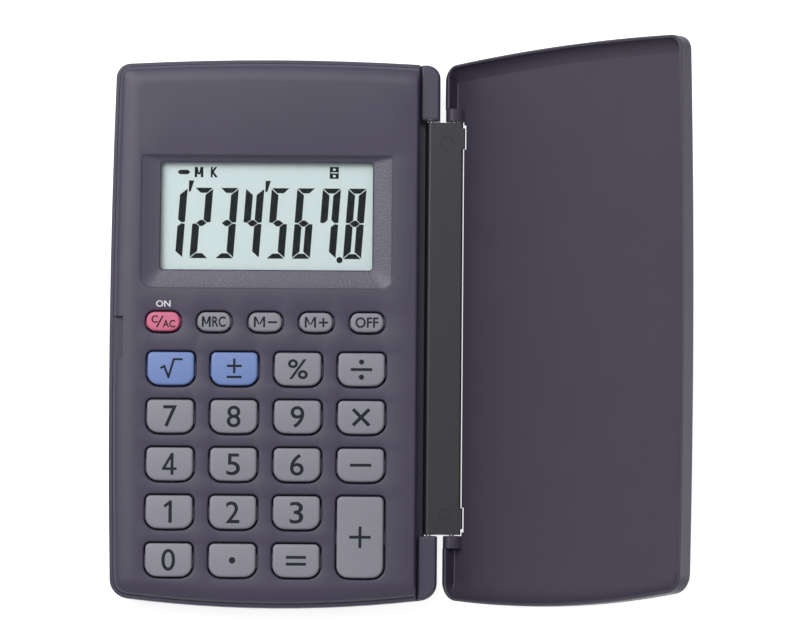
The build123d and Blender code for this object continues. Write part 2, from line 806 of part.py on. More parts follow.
# Hollow of the lid, coved where the walls meet the floor
with BuildPart() as lid_hollow:
    with BuildSketch(lid_plane.offset(-lid_inside)):
        add(shell_plan(lid_rim_width, axis_x, in_lid=True))
    extrude(amount=closed_height)
    floor_edges = lid_hollow.faces().sort_by(Axis(lid_plane.origin, lid_plane.z_dir))[0].edges()
    hinge_edge = floor_edges.sort_by(Axis(lid_plane.origin, lid_plane.x_dir))[0]
    fillet(floor_edges - ShapeList([hinge_edge]), lid_cove)

# Lid: a shallow tray whose hinge side is a round bar, cut away for the spine
with BuildPart() as lid:
    with BuildSketch(lid_plane.offset(-lid_outside)):
        add(shell_plan(0, in_lid=True))
    extrude(amount=lid_outside + lid_rim)
    outer_face = lid.faces().sort_by(Axis(lid_plane.origin, lid_plane.z_dir))[0]
    fillet(outer_face.edges(), lid_edge_round)
    add(lid_hollow.part, mode=Mode.SUBTRACT)
    with BuildSketch(lid_section):
        Rectangle(2 * lid_lug_radius, 3 * lid_outside, align=(Align.MAX, Align.CENTER))
        Circle(lid_lug_radius, mode=Mode.SUBTRACT)
    extrude(amount=body_length, both=True, mode=Mode.SUBTRACT)
    with BuildSketch(lid_plane.offset(-2 * lid_outside)):
        with Locations((lid_cutout, (boss_top + boss_bottom) / 2)):
            Rectangle(
                3 * lid_outside, boss_top - boss_bottom, align=(Align.MAX, Align.CENTER)
            )
        for y in tab_places:
            with Locations((lid_cutout + tab_reach + tab_play / 2, y)):
                Rectangle(3 * lid_outside, tab_length + 2 * tab_play, align=(Align.MAX, Align.CENTER))
    extrude(amount=4 * lid_outside, mode=Mode.SUBTRACT)
    # bosses that hold the lid's pins
    for face, way in ((boss_top, 1), (boss_bottom, -1)):
        with BuildSketch(Plane(origin=(lid_axis_x, face, axis_height), z_dir=(0, way, 0))):
            Circle(lid_boss_radius)
        extrude(amount=lid_boss_length)
        with BuildSketch(Plane(origin=(lid_axis_x, face, axis_height), z_dir=(0, way, 0))):
            Circle(pin_radius)
        extrude(amount=pin_seat, mode=Mode.SUBTRACT)
finish(lid, "lid")
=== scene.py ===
from math import acos, asin, atan2, cos, pi, radians, sin, sqrt

import bmesh
import bpy
from mathutils import Matrix, Vector
from mathutils.geometry import delaunay_2d_cdt


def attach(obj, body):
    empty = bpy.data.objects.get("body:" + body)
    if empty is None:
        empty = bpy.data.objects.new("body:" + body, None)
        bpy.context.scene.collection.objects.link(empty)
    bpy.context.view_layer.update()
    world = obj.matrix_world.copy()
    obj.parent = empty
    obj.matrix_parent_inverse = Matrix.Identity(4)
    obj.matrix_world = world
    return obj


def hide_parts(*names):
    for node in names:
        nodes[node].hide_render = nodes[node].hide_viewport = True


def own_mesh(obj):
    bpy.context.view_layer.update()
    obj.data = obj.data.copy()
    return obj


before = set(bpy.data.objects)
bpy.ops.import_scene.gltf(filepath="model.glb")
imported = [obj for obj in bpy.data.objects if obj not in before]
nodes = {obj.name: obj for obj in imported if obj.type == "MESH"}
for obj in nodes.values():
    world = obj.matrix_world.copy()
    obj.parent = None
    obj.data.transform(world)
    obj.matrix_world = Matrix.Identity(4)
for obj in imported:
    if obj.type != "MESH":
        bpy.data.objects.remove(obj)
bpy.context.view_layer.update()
mm = 0.001
quarter = pi / 2
print("frame loaded:", len(nodes), "nodes")

# shared measures of the moulded shells, in millimetres
shell = {
    "length": 127.0,
    "width": 76.0,
    "topBow": 1.17,
    "bottomBow": 2.5,
    "sideBow": 0.9,
    "topCorner": 3.4,
    "bottomCorner": 4.4,
    "leastCorner": 0.9,
    "hingeWall": 33.2,
    "bowSteps": 28,
    "cornerSteps": 10,
}
leftChord = -shell["width"] / 2 + shell["sideBow"]
rightEdge = shell["width"] / 2
topChord = shell["length"] / 2 - shell["topBow"]
bottomChord = -shell["length"] / 2 + shell["bottomBow"]
midX = (leftChord + rightEdge) / 2
midY = (topChord + bottomChord) / 2


def bowCircle(chord, bow, crest, out):
    radius = (chord ** 2 / 4 + bow ** 2) / (2 * bow)
    return Vector(crest) - Vector(out) * radius, radius


topEdge = bowCircle(rightEdge - leftChord, shell["topBow"], (midX, shell["length"] / 2), (0, 1))
footEdge = bowCircle(rightEdge - leftChord, shell["bottomBow"], (midX, -shell["length"] / 2), (0, -1))
sideEdge = bowCircle(topChord - bottomChord, shell["sideBow"], (-shell["width"] / 2, midY), (-1, 0))


def pointAt(centre, radius, angle):
    return centre + Vector((cos(angle), sin(angle))) * radius


def arcPoints(centre, radius, start, end, steps):
    turn = (end - start + pi) % (2 * pi) - pi
    return [pointAt(centre, radius, start + turn * i / steps) for i in range(steps + 1)]


def quarterRound(radius, steps):
    # how far a rounded edge has come in and has still to rise, from its foot to its top
    turns = [quarter * i / steps for i in range(steps + 1)]
    return [(radius * (1 - cos(t)), radius * (1 - sin(t))) for t in turns]


def circlePoints(x, y, radius, sides):
    turns = [2 * pi * i / sides for i in range(sides)]
    return [(x + radius * cos(t), y + radius * sin(t)) for t in turns]


def roundedLoop(low, high, footRound, topRound, cornerSteps, sideSteps):
    # a rectangle with its own corner radius at the foot and at the top
    corners = [
        (Vector((high[0] - footRound, low[1] + footRound)), footRound, -quarter),
        (Vector((high[0] - topRound, high[1] - topRound)), topRound, 0.0),
        (Vector((low[0] + topRound, high[1] - topRound)), topRound, quarter),
        (Vector((low[0] + footRound, low[1] + footRound)), footRound, 2 * quarter),
    ]
    loop = []
    for index, (centre, radius, start) in enumerate(corners):
        loop += arcPoints(centre, radius, start, start + quarter, cornerSteps)
        last, after = loop[-1], pointAt(*corners[(index + 1) % 4])
        loop += [last.lerp(after, step / sideSteps) for step in range(1, sideSteps)]
    return loop


def cornerCentre(edgeA, insetA, edgeB, insetB, cornerRadius, near):
    # the centre of a corner arc that touches both inset edge circles
    (centreA, radiusA), (centreB, radiusB) = edgeA, edgeB
    a = radiusA - insetA - cornerRadius
    b = radiusB - insetB - cornerRadius
    along = centreB - centreA
    distance = along.length
    along.normalize()
    t = (a * a - b * b + distance * distance) / (2 * distance)
    side = sqrt(max(a * a - t * t, 0))
    across = Vector((-along.y, along.x))
    options = [centreA + along * t + across * side, centreA + along * t - across * side]
    return min(options, key=lambda p: (p - Vector(near)).length)


def hingeCornerCentre(edge, inset, endX, cornerRadius, sign):
    # the centre of an arc that touches the hinge line and one bowed edge
    centre, radius = edge
    x = endX - cornerRadius
    rise = sqrt((radius - inset - cornerRadius) ** 2 - (x - centre.x) ** 2)
    return Vector((x, centre.y + sign * rise))


def heading(centre, point):
    return atan2(point.y - centre.y, point.x - centre.x)


def shellOutline(insets, endX, hingeRounds=None, leastCorner=shell["leastCorner"]):
    # from the hinge side along the top, down the free side and back along the foot;
    # with hinge rounds given, the loop closes along the hinge side
    topInset, sideInset, footInset = insets
    (top, topRadius), (side, sideRadius), (foot, footRadius) = topEdge, sideEdge, footEdge
    topRound = max(shell["topCorner"] - sideInset, leastCorner)
    footRound = max(shell["bottomCorner"] - sideInset, leastCorner)
    topCorner = cornerCentre(topEdge, topInset, sideEdge, sideInset, topRound, (leftChord, topChord))
    footCorner = cornerCentre(footEdge, footInset, sideEdge, sideInset, footRound, (leftChord, bottomChord))
    steps, cornerSteps = shell["bowSteps"], shell["cornerSteps"]
    lead, tail = [], []
    if hingeRounds:
        topHinge = hingeCornerCentre(topEdge, topInset, endX, hingeRounds[0], 1)
        footHinge = hingeCornerCentre(footEdge, footInset, endX, hingeRounds[1], -1)
        topStart, footEnd = heading(top, topHinge), heading(foot, footHinge)
        low, high = Vector((endX, footHinge.y)), Vector((endX, topHinge.y))
        lead = [low.lerp(high, i / steps) for i in range(steps)]
        lead += arcPoints(topHinge, hingeRounds[0], 0, topStart, cornerSteps)[:-1]
        tail = arcPoints(footHinge, hingeRounds[1], footEnd, 0, cornerSteps)[1:-1]
    else:
        reach = endX - midX
        topStart = acos(reach / (topRadius - topInset))
        footEnd = -acos(reach / (footRadius - footInset))
    topEnd, sideStart = heading(top, topCorner), heading(side, topCorner)
    sideEnd, footStart = heading(side, footCorner), heading(foot, footCorner)
    arcs = [
        (top, topRadius - topInset, topStart, topEnd, steps),
        (topCorner, topRound, topEnd, sideStart, cornerSteps),
        (side, sideRadius - sideInset, sideStart, sideEnd, steps),
        (footCorner, footRound, sideEnd, footStart, cornerSteps),
        (foot, footRadius - footInset, footStart, footEnd, steps),
    ]
    points = [p for arc in arcs for p in arcPoints(*arc)[1:]]
    return lead + [pointAt(*arcs[0][:3])] + points + tail


def alongOutline(top, side, foot, hinge=None):
    # one value per outline point, blended round the corners
    steps, cornerSteps = shell["bowSteps"], shell["cornerSteps"]

    def blend(a, b):
        return [a + (b - a) * (i + 1) / cornerSteps for i in range(cornerSteps)]

    values = [top] + [top] * steps + blend(top, side) + [side] * steps + blend(side, foot) + [foot] * steps
    if hinge is None:
        return values
    return [hinge] * (steps + 1) + blend(hinge, top)[:-1] + values + blend(foot, hinge)[:-1]


def insideLoop(point, loop):
    inside = False
    for a, b in zip(loop, loop[1:] + loop[:1]):
        if (a.y > point.y) != (b.y > point.y):
            if point.x < (b.x - a.x) * (point.y - a.y) / (b.y - a.y) + a.x:
                inside = not inside
    return inside


class Skin:
    # collects rings of points and the faces between them
    def __init__(self):
        self.points = []
        self.faces = []

    def add(self, points):
        first = len(self.points)
        self.points += points
        return list(range(first, len(self.points)))

    def ring(self, flat, height):
        # the height is one number, one per point, or a surface
        if callable(height):
            height = [height(p[0], p[1]) for p in flat]
        elif not isinstance(height, list):
            height = [height] * len(flat)
        return self.add([Vector((p[0], p[1], z)) for p, z in zip(flat, height)])

    def bridge(self, inner, outer, closed=True):
        count = len(inner)
        for i in range(count if closed else count - 1):
            j = (i + 1) % count
            self.faces.append((inner[i], outer[i], outer[j], inner[j]))

    def stack(self, rings, start=None):
        # joins each new ring to the one before it, and gives back the last
        for ring in rings:
            if start:
                self.bridge(ring, start)
            start = ring
        return start

    def prism(self, flat, footZ, topZ):
        foot, top = self.ring(flat, footZ), self.ring(flat, topZ)
        self.bridge(top, foot)
        self.faces += [tuple(reversed(foot)), tuple(top)]

    def box(self, low, high):
        corners = [(low[0], low[1]), (high[0], low[1]), (high[0], high[1]), (low[0], high[1])]
        self.prism(corners, low[2], high[2])

    def fill(self, outer, holes=(), down=False, extra=(), height=None):
        # flat or nearly flat face with holes, between rings that already exist
        loops = [outer] + list(holes)
        ids = [i for loop in loops for i in loop]
        flat = [self.points[i].to_2d() for i in ids] + list(extra)
        edges = []
        start = 0
        for loop in loops:
            edges += [(start + i, start + (i + 1) % len(loop)) for i in range(len(loop))]
            start += len(loop)
        if extra:
            ids += self.ring(extra, height)
        found, _, triangles, origin, _, _ = delaunay_2d_cdt(flat, edges, [], 0, 1e-6)
        outline, *openings = [[self.points[i].to_2d() for i in loop] for loop in loops]
        for triangle in triangles:
            middle = sum((found[i] for i in triangle), Vector((0, 0))) / len(triangle)
            if insideLoop(middle, outline) and not any(insideLoop(middle, hole) for hole in openings):
                face = [ids[origin[i][0]] for i in triangle]
                self.faces.append(tuple(reversed(face)) if down else tuple(face))


# pieces
sharpAngle = 40.0  # edges sharper than this stay crisp


def linkedObject(name, data):
    made = bpy.data.objects.new(name, data)
    bpy.context.scene.collection.objects.link(made)
    return made


def linkedMesh(name, points, faces):
    mesh = bpy.data.meshes.new(name)
    mesh.from_pydata(points, [], faces)
    return linkedObject(name, mesh)


def finishPiece(piece, body, slotName, finish, replaced=None):
    piece.data.materials.clear()
    piece.data.materials.append(finishes[finish])
    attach(piece, body)
    if replaced:
        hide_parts(replaced)
    return piece


def editMesh(mesh, *steps):
    work = bmesh.new()
    work.from_mesh(mesh)
    for step in steps:
        step(work)
    work.to_mesh(mesh)
    work.free()


def weld(work, reach=1e-7):
    bmesh.ops.remove_doubles(work, verts=work.verts, dist=reach)


def faceOutwards(work):
    bmesh.ops.recalc_face_normals(work, faces=work.faces)


def smoothPiece(piece, angle):
    # smooth shading, with edges sharper than the angle kept crisp
    def markSharp(work):
        for edge in work.edges:
            edge.smooth = len(edge.link_faces) == 2 and edge.calc_face_angle(0) < radians(angle)

    piece.data.polygons.foreach_set("use_smooth", [True] * len(piece.data.polygons))
    editMesh(piece.data, markSharp)
    return piece


def newMeshPiece(name, skin, angle=sharpAngle, place=None):
    points = [place(p) for p in skin.points] if place else skin.points
    piece = linkedMesh(name, [p * mm for p in points], skin.faces)
    editMesh(piece.data, weld, faceOutwards)
    return smoothPiece(piece, angle)


def evaluatedMesh(piece):
    depsgraph = bpy.context.evaluated_depsgraph_get()
    return bpy.data.meshes.new_from_object(piece.evaluated_get(depsgraph), depsgraph=depsgraph)


def applyModifiers(piece):
    mesh = evaluatedMesh(piece)
    piece.modifiers.clear()
    piece.data = mesh
    return piece


def modify(piece, kind, **settings):
    # adds one modifier and applies it
    modifier = piece.modifiers.new(kind.lower(), kind)
    for key, value in settings.items():
        setattr(modifier, key, value)
    return applyModifiers(piece)


def cutBox(piece, low, high, angle=sharpAngle, place=None):
    # takes a box out of a closed piece
    skin = Skin()
    skin.box(low, high)
    cutter = newMeshPiece(piece.name + "_cutter", skin, place=place)
    modify(piece, "BOOLEAN", operation="DIFFERENCE", solver="EXACT", object=cutter)
    bpy.data.objects.remove(cutter)
    smoothPiece(piece, angle)


def roundEdges(piece, width, segments, angle=sharpAngle):
    limit = radians(sharpAngle)
    modify(piece, "BEVEL", width=width * mm, segments=segments, limit_method="ANGLE", angle_limit=limit)
    return weighNormals(smoothPiece(piece, angle))


def weighNormals(piece):
    return modify(piece, "WEIGHTED_NORMAL", mode="FACE_AREA", keep_sharp=True)


def mergedCopy(nodeName, name):
    # the CAD solid as one welded, smooth-shaded mesh
    mesh = nodes[nodeName].data.copy()
    piece = linkedObject(name, mesh)
    editMesh(mesh, lambda work: weld(work, 2e-6))
    if mesh.has_custom_normals:
        mesh.attributes.remove(mesh.attributes["custom_normal"])
    return weighNormals(smoothPiece(piece, 32.0))


# shader and geometry nodes
def addNode(tree, kind, inputs, **settings):
    # an input is a plain value or another node's output
    node = tree.nodes.new(kind)
    for key, value in settings.items():
        setattr(node, key, value)
    for socket, value in inputs.items():
        if isinstance(value, bpy.types.NodeSocket):
            tree.links.new(value, node.inputs[socket])
        else:
            node.inputs[socket].default_value = value
    return node


def calculate(tree, operation, a, b, clamp=False):
    return addNode(tree, "ShaderNodeMath", {0: a, 1: b}, operation=operation, use_clamp=clamp).outputs[0]


def mapRange(tree, value, fromLow=0.0, fromHigh=1.0, toLow=0.0, toHigh=1.0):
    inputs = {0: value, 1: fromLow, 2: fromHigh, 3: toLow, 4: toHigh}
    return addNode(tree, "ShaderNodeMapRange", inputs).outputs[0]


def noise(tree, scale, detail, roughness=0.5):
    place = addNode(tree, "ShaderNodeTexCoord", {}).outputs["Object"]
    inputs = {"Vector": place, "Scale": scale, "Detail": detail, "Roughness": roughness}
    return addNode(tree, "ShaderNodeTexNoise", inputs).outputs["Fac"]


def mixColours(tree, factor, low, high):
    return addNode(tree, "ShaderNodeMix", {0: factor, 6: low, 7: high}, data_type="RGBA").outputs[2]


def newTree(name, kind, inputs, outputs):
    tree = bpy.data.node_groups.new(name, kind)
    for way, sockets in (("INPUT", inputs), ("OUTPUT", outputs)):
        for label, sort in sockets.items():
            tree.interface.new_socket(name=label, in_out=way, socket_type="NodeSocket" + sort)
    return tree, tree.nodes.new("NodeGroupInput").outputs, tree.nodes.new("NodeGroupOutput").inputs


# effects that several finishes share
effects = {
    "pitRoughness": 0.55,
    "waveScale": 70.0,
    "waviness": 0.15,
    "patchScale": 120.0,
    "patchRoughness": 0.6,
    "patchRange": (0.42, 0.75),
    "speckScale": 2600.0,
    "speckRange": (0.62, 0.8),
    "dustLift": 0.01,
    "glossSpread": 0.04,
}


def buildGrainGroup():
    # moulded texture: fine pits with a slower waviness under them
    group, given, result = newTree(
        "mouldedGrain", "ShaderNodeTree", {"Size": "Float", "Depth": "Float", "Waviness": "Float"},
        {"Height": "Float", "Mottle": "Float"},
    )
    pits = noise(group, calculate(group, "DIVIDE", 1.0, given["Size"]), 2.0, effects["pitRoughness"])
    slow = noise(group, effects["waveScale"], 2.0)
    deep = calculate(group, "MULTIPLY", pits, given["Depth"])
    wavy = calculate(group, "MULTIPLY", slow, given["Waviness"])
    group.links.new(calculate(group, "ADD", deep, wavy), result["Height"])
    group.links.new(slow, result["Mottle"])
    return group


def buildMarksGroup():
    # faint settled dust and rubbed patches
    group, given, result = newTree(
        "handlingMarks", "ShaderNodeTree", {"Amount": "Float", "Patch": "Float"}, {"Mask": "Float"},
    )
    patches = noise(group, given["Patch"], 5.0, effects["patchRoughness"])
    wide = mapRange(group, patches, *effects["patchRange"])
    fine = mapRange(group, noise(group, effects["speckScale"], 1.0), *effects["speckRange"])
    both = calculate(group, "ADD", wide, fine)
    group.links.new(calculate(group, "MULTIPLY", both, given["Amount"], True), result["Mask"])
    return group


grainGroup = buildGrainGroup()
marksGroup = buildMarksGroup()


def newMaterial(name, values):
    material = bpy.data.materials.new(name)
    material.use_nodes = True
    shader = material.node_tree.nodes["Principled BSDF"].inputs
    for socket, value in values.items():
        shader[socket].default_value = value
    return material, material.node_tree, shader


def shade(colour, factor, lift=0.0):
    return tuple(min(c * factor + lift, 1) for c in colour) + (1.0,)


def joinShader(tree, shader, colour, height, depth):
    tree.links.new(colour, shader["Base Color"])
    bump = addNode(tree, "ShaderNodeBump", {"Height": height, "Distance": depth})
    tree.links.new(bump.outputs[0], shader["Normal"])


def mouldedPlastic(
    name, colour, roughness, grainSize, grainDepth, bump, mottle=0.06, dust=0.1, dustTone=1.5, sheen=0.4,
):
    material, tree, shader = newMaterial(name, {"Specular IOR Level": sheen})
    grainValues = {"Size": grainSize, "Depth": grainDepth, "Waviness": effects["waviness"]}
    marksValues = {"Amount": dust, "Patch": effects["patchScale"]}
    grain = addNode(tree, "ShaderNodeGroup", grainValues, node_tree=grainGroup).outputs
    marks = addNode(tree, "ShaderNodeGroup", marksValues, node_tree=marksGroup).outputs
    tint = mixColours(tree, grain["Mottle"], shade(colour, 1 - mottle), shade(colour, 1 + mottle))
    settled = mixColours(tree, marks["Mask"], tint, shade(colour, dustTone, effects["dustLift"]))
    spread = effects["glossSpread"]
    gloss = mapRange(tree, grain["Mottle"], toLow=roughness - spread, toHigh=roughness + spread)
    tree.links.new(gloss, shader["Roughness"])
    joinShader(tree, shader, settled, grain["Height"], bump)
    return material


def plainMaterial(
    name, colour, roughness, metallic=0.0, noiseScale=900.0, spread=0.08, bump=0.00001, sheen=0.5, alpha=1.0,
):
    material, tree, shader = newMaterial(name, {
        "Roughness": roughness, "Metallic": metallic, "Specular IOR Level": sheen, "Alpha": alpha,
    })
    cloud = noise(tree, noiseScale, 3.0)
    tint = mixColours(tree, cloud, shade(colour, 1 - spread), shade(colour, 1 + spread))
    joinShader(tree, shader, tint, cloud, bump)
    return material


def clearMaterial(name, tint, alpha, roughness):
    return plainMaterial(name, tint, roughness, noiseScale=40.0, spread=0.01, bump=0.000001, alpha=alpha)


finishes = {
    "case": mouldedPlastic("casePlastic", (0.050, 0.0415, 0.077), 0.37, 0.00022, 0.5, 0.00002),
    "bezel": mouldedPlastic("bezelPlastic", (0.046, 0.038, 0.074), 0.34, 0.00035, 1.0, 0.00008, sheen=0.62),
    # the lid's plastic is the case's plastic painted darker: a painted shade over the whole lid
    "lid": mouldedPlastic("lidPlasticPaintedShade", (0.039, 0.032, 0.055), 0.42, 0.0002, 0.5, 0.00002),
    "spine": mouldedPlastic("spinePlastic", (0.011, 0.0105, 0.016), 0.34, 0.0002, 0.4, 0.00001),
    "legend": plainMaterial("legendInk", (0.013, 0.015, 0.024), 0.5, sheen=0.15),
    "whiteInk": plainMaterial("whiteInk", (0.78, 0.75, 0.82), 0.55),
    "segment": plainMaterial("displaySegment", (0.003, 0.004, 0.005), 0.6, sheen=0.0),
    "reflector": plainMaterial(
        "displayReflector", (0.77, 0.90, 0.90), 0.65, noiseScale=60.0, spread=0.015, sheen=0.2,
    ),
    "lens": clearMaterial("clearLens", (0.75, 0.85, 0.84), 0.006, 0.08),
    "glass": clearMaterial("displayGlass", (0.80, 0.90, 0.87), 0.05, 0.12),
    "inner": plainMaterial("innerPlastic", (0.5, 0.5, 0.48), 0.6),
    "rubber": plainMaterial("rubber", (0.3, 0.3, 0.31), 0.8),
    "strip": plainMaterial("stripRubber", (0.2, 0.2, 0.2), 0.8, noiseScale=4000.0, spread=0.5),
    "board": plainMaterial("boardLaminate", (0.26, 0.16, 0.07), 0.55),
    "resin": plainMaterial("chipResin", (0.015, 0.015, 0.015), 0.25),
    "steel": plainMaterial("plainSteel", (0.52, 0.52, 0.51), 0.32, 1.0),
    "zinc": plainMaterial("zincSteel", (0.40, 0.40, 0.42), 0.38, 1.0),
    "brass": plainMaterial("contactMetal", (0.62, 0.52, 0.30), 0.35, 1.0),
}
keyColours = {"Grey": (0.273, 0.27, 0.318), "Pink": (0.70, 0.163, 0.28), "Blue": (0.184, 0.27, 0.575)}
for tone, colour in keyColours.items():
    finishes["key" + tone] = mouldedPlastic(
        "key" + tone + "Plastic", colour, 0.38, 0.00018, 0.3, 0.000006, mottle=0.02, dust=0.05, dustTone=1.2,
    )
nodeFinish = {
    "lens": ["display_lens"],
    "glass": ["display_panel"],
    "reflector": ["display_reflector"],
    "inner": ["display_frame"],
    "strip": ["contact_strip"],
    "board": ["circuit_board"],
    "resin": ["chip_cover"],
    "rubber": ["key_sheet"],
    "steel": ["button_cell", "case_hinge_pins", "lid_hinge_pins"],
    "brass": ["top_contact", "bottom_contact"],
    "zinc": ["case_screws", "board_screws"],
}
for finish, nodeNames in nodeFinish.items():
    for nodeName in nodeNames:
        nodes[nodeName].data.materials.clear()
        nodes[nodeName].data.materials.append(finishes[finish])
print("materials built:", len(finishes))

# keys
keyGrid = {
    "columns": (-23.55, -8.91, 5.73, 20.37),
    "firstRow": -8.7,
    "pitch": 11.02,
    "width": 10.8,
    "height": 7.75,
    "topRound": 1.2,
    "footRound": 2.5,
    "leastRound": 0.12,
    "mostRound": 0.95,  # share of half a side
    "bow": 0.25,
    "cornerSteps": 8,
    "sideSteps": 6,
    "smallColumns": (-25.45, -13.72, -1.92, 9.8, 21.52),
    "smallRow": 2.15,
    "smallWidth": 7.7,
    "smallHeight": 4.55,
    "smallRound": 1.9,
    "gap": 0.3,
    "top": 8.2,
    "foot": 5.3,
    "crown": 42.0,
    "sideCrown": 160.0,
    "tallCrown": 0.35,
    "edgeRound": 0.42,
    "edgeSteps": 5,
    "draft": 0.06,
    "topInsets": (0.75, 1.1),
    "topMargin": 1.5,
    "topClear": 0.25,
    "lip": 0.6,
    "lipLength": 3.2,
    "lipTop": 5.9,
    "plunger": 3.0,
    "plungerFoot": 4.6,
    "plungerSunk": 0.1,
    "tones": {"key_clear": "Pink", "key_root": "Blue", "key_sign": "Blue"},
}
rowY = [keyGrid["firstRow"] - keyGrid["pitch"] * row for row in range(5)]
bigSize = (keyGrid["width"], keyGrid["height"], keyGrid["topRound"], keyGrid["footRound"])
tallSize = (keyGrid["width"], keyGrid["height"] + keyGrid["pitch"], keyGrid["topRound"], keyGrid["footRound"])
smallSize = (keyGrid["smallWidth"], keyGrid["smallHeight"], keyGrid["smallRound"], keyGrid["smallRound"])
smallKeys = ("key_clear", "key_recall", "key_memory_minus", "key_memory_plus", "key_off")
bigKeys = (
    ("key_root", "key_sign", "key_percent", "key_divide"),
    ("key_7", "key_8", "key_9", "key_times"),
    ("key_4", "key_5", "key_6", "key_minus"),
    ("key_1", "key_2", "key_3"),
    ("key_0", "key_point", "key_equals"),
)
keyPlaces = {}
for x, nodeName in zip(keyGrid["smallColumns"], smallKeys):
    keyPlaces[nodeName] = (x, keyGrid["smallRow"], smallSize)
for y, nodeNames in zip(rowY, bigKeys):
    for x, nodeName in zip(keyGrid["columns"], nodeNames):
        keyPlaces[nodeName] = (x, y, bigSize)
keyPlaces["key_plus"] = (keyGrid["columns"][3], (rowY[3] + rowY[4]) / 2, tallSize)


def keyLook(nodeName):
    # the record's slot and the finish of one key
    tone = keyGrid["tones"].get(nodeName, "Grey")
    return "key_" + tone.lower(), "key" + tone


def keyLoop(x, y, size, inset):
    # rounded outline, small corners at the top, large ones and a slight bow at the foot
    width, height, topRound, footRound = size
    halfW, halfH = width / 2 - inset, height / 2 - inset
    most = min(halfH * keyGrid["mostRound"], halfW * keyGrid["mostRound"])
    top, foot = [min(max(r - inset, keyGrid["leastRound"]), most) for r in (topRound, footRound)]
    steps = keyGrid["cornerSteps"], keyGrid["sideSteps"]
    bowed = []
    for point in roundedLoop((-halfW, -halfH), (halfW, halfH), foot, top, *steps):
        lift = keyGrid["bow"] * (point.x / (width / 2)) ** 2 if point.y < 0 else 0
        bowed.append(Vector((x + point.x, y + point.y + lift * min(1, -point.y / halfH))))
    return bowed


def buildKey(nodeName):
    x, y, size = keyPlaces[nodeName]
    crownScale = keyGrid["tallCrown"] if size is tallSize else 1.0

    def crown(px, py):
        dy = (py - y) * crownScale
        return keyGrid["top"] - dy * dy / (2 * keyGrid["crown"]) - (px - x) ** 2 / (2 * keyGrid["sideCrown"])

    skin = Skin()
    upper = skin.ring(keyLoop(x, y, size, 0), keyGrid["foot"])
    skin.fill(upper, down=True)
    curve = quarterRound(keyGrid["edgeRound"], keyGrid["edgeSteps"])
    levels = [(keyGrid["draft"] + inset, drop) for inset, drop in curve]
    for inset, drop in levels + [(inset, 0) for inset in keyGrid["topInsets"]]:
        loop = keyLoop(x, y, size, inset)
        upper = skin.stack([skin.ring(loop, [crown(p.x, p.y) - drop for p in loop])], upper)
    # points over the crown, clear of its edge
    halfW, halfH = size[0] / 2 - keyGrid["topMargin"], size[1] / 2 - keyGrid["topMargin"]
    inner = [skin.points[i].to_2d() for i in upper]
    spots = []
    stepsX, stepsY = max(int(halfW * 2), 2), max(int(halfH * 2), 2)
    for i in range(stepsX + 1):
        for j in range(stepsY + 1):
            spot = Vector((x - halfW + 2 * halfW * i / stepsX, y - halfH + 2 * halfH * j / stepsY))
            if insideLoop(spot, inner) and min((spot - p).length for p in inner) > keyGrid["topClear"]:
                spots.append(spot)
    skin.fill(upper, extra=spots, height=crown)
    lipReach, lipLength = size[0] / 2 + keyGrid["lip"], min(keyGrid["lipLength"], size[1] / 2) / 2
    half = keyGrid["plunger"] / 2
    skin.box((x - lipReach, y - lipLength, keyGrid["foot"]), (x + lipReach, y + lipLength, keyGrid["lipTop"]))
    plungerTop = keyGrid["foot"] + keyGrid["plungerSunk"]
    skin.box((x - half, y - half, keyGrid["plungerFoot"]), (x + half, y + half, plungerTop))
    finishPiece(newMeshPiece(nodeName + "_cap", skin), nodeName, *keyLook(nodeName), nodeName)
    return crown


keyCrowns = {nodeName: buildKey(nodeName) for nodeName in keyPlaces}
print("keys built:", len(keyCrowns))

# front shell
front = {
    "faceZ": 7.4,
    "seamZ": 4.8,
    "seamTuck": 0.02,
    "ceilingZ": 6.2,
    "skirtInset": 0.85,
    "leastCorner": 1.8,
    "wall": 1.2,
    "sideWall": 3.6,
    "rollStarts": (5.3, 6.1, 4.65),
    "rollSteps": 10,
    "rimRadius": 2.0,
    "rimDrop": 0.45,
    "hingeRound": 0.8,
    "hingeSteps": 5,
    "hingeSpans": 30,
    "holeRound": 0.42,
    "holeSteps": 4,
    "smoothAngle": 50.0,
    "bosses": {
        "case": {"xs": (-32.4, 29.9), "ys": (54.6, -52.6), "radius": 2.0, "foot": 2.6},
        "board": {"xs": (-16.23, 13.05), "ys": (-14.21, -36.25), "radius": 1.25, "foot": 3.0},
    },
    "bossSides": 24,
    "bossSunk": 0.3,
}
bezel = {
    "low": (-30.8, 10.05),
    "high": (27.1, 40.8),
    "footRound": 3.0,
    "topRound": 0.6,
    "windowLow": (-26.4, 14.45),
    "windowHigh": (22.55, 39.4),
    "windowRound": 0.85,
    "windowZ": 6.3,
    "lensTop": 5.7,
    "lip": 0.35,
    "cornerSteps": 8,
    "sideSteps": 10,
    "margin": 0.3,  # inside this and below the face by "below", the grain is coarser
    "below": 0.05,
    # share of the way in, growth outwards, share of the depth
    "stages": (
        (0.0, 0.35, 0.0), (0.0, 0.175, 0.02), (0.0, 0.12, 0.07), (0.04, 0.0, 0.13), (0.12, 0.0, 0.24),
        (0.5, 0.0, 0.60), (0.96, 0.0, 0.99), (1.0, 0.0, 1.0), (1.0, -0.06, 1.01), (1.0, -0.12, 1.06),
        (1.0, -0.35, 1.28),
    ),
}
notch = {"low": (-shell["width"], -6.4, 5.4), "high": (-34.75, 3.5, 9.0)}  # thumb notch in the free side


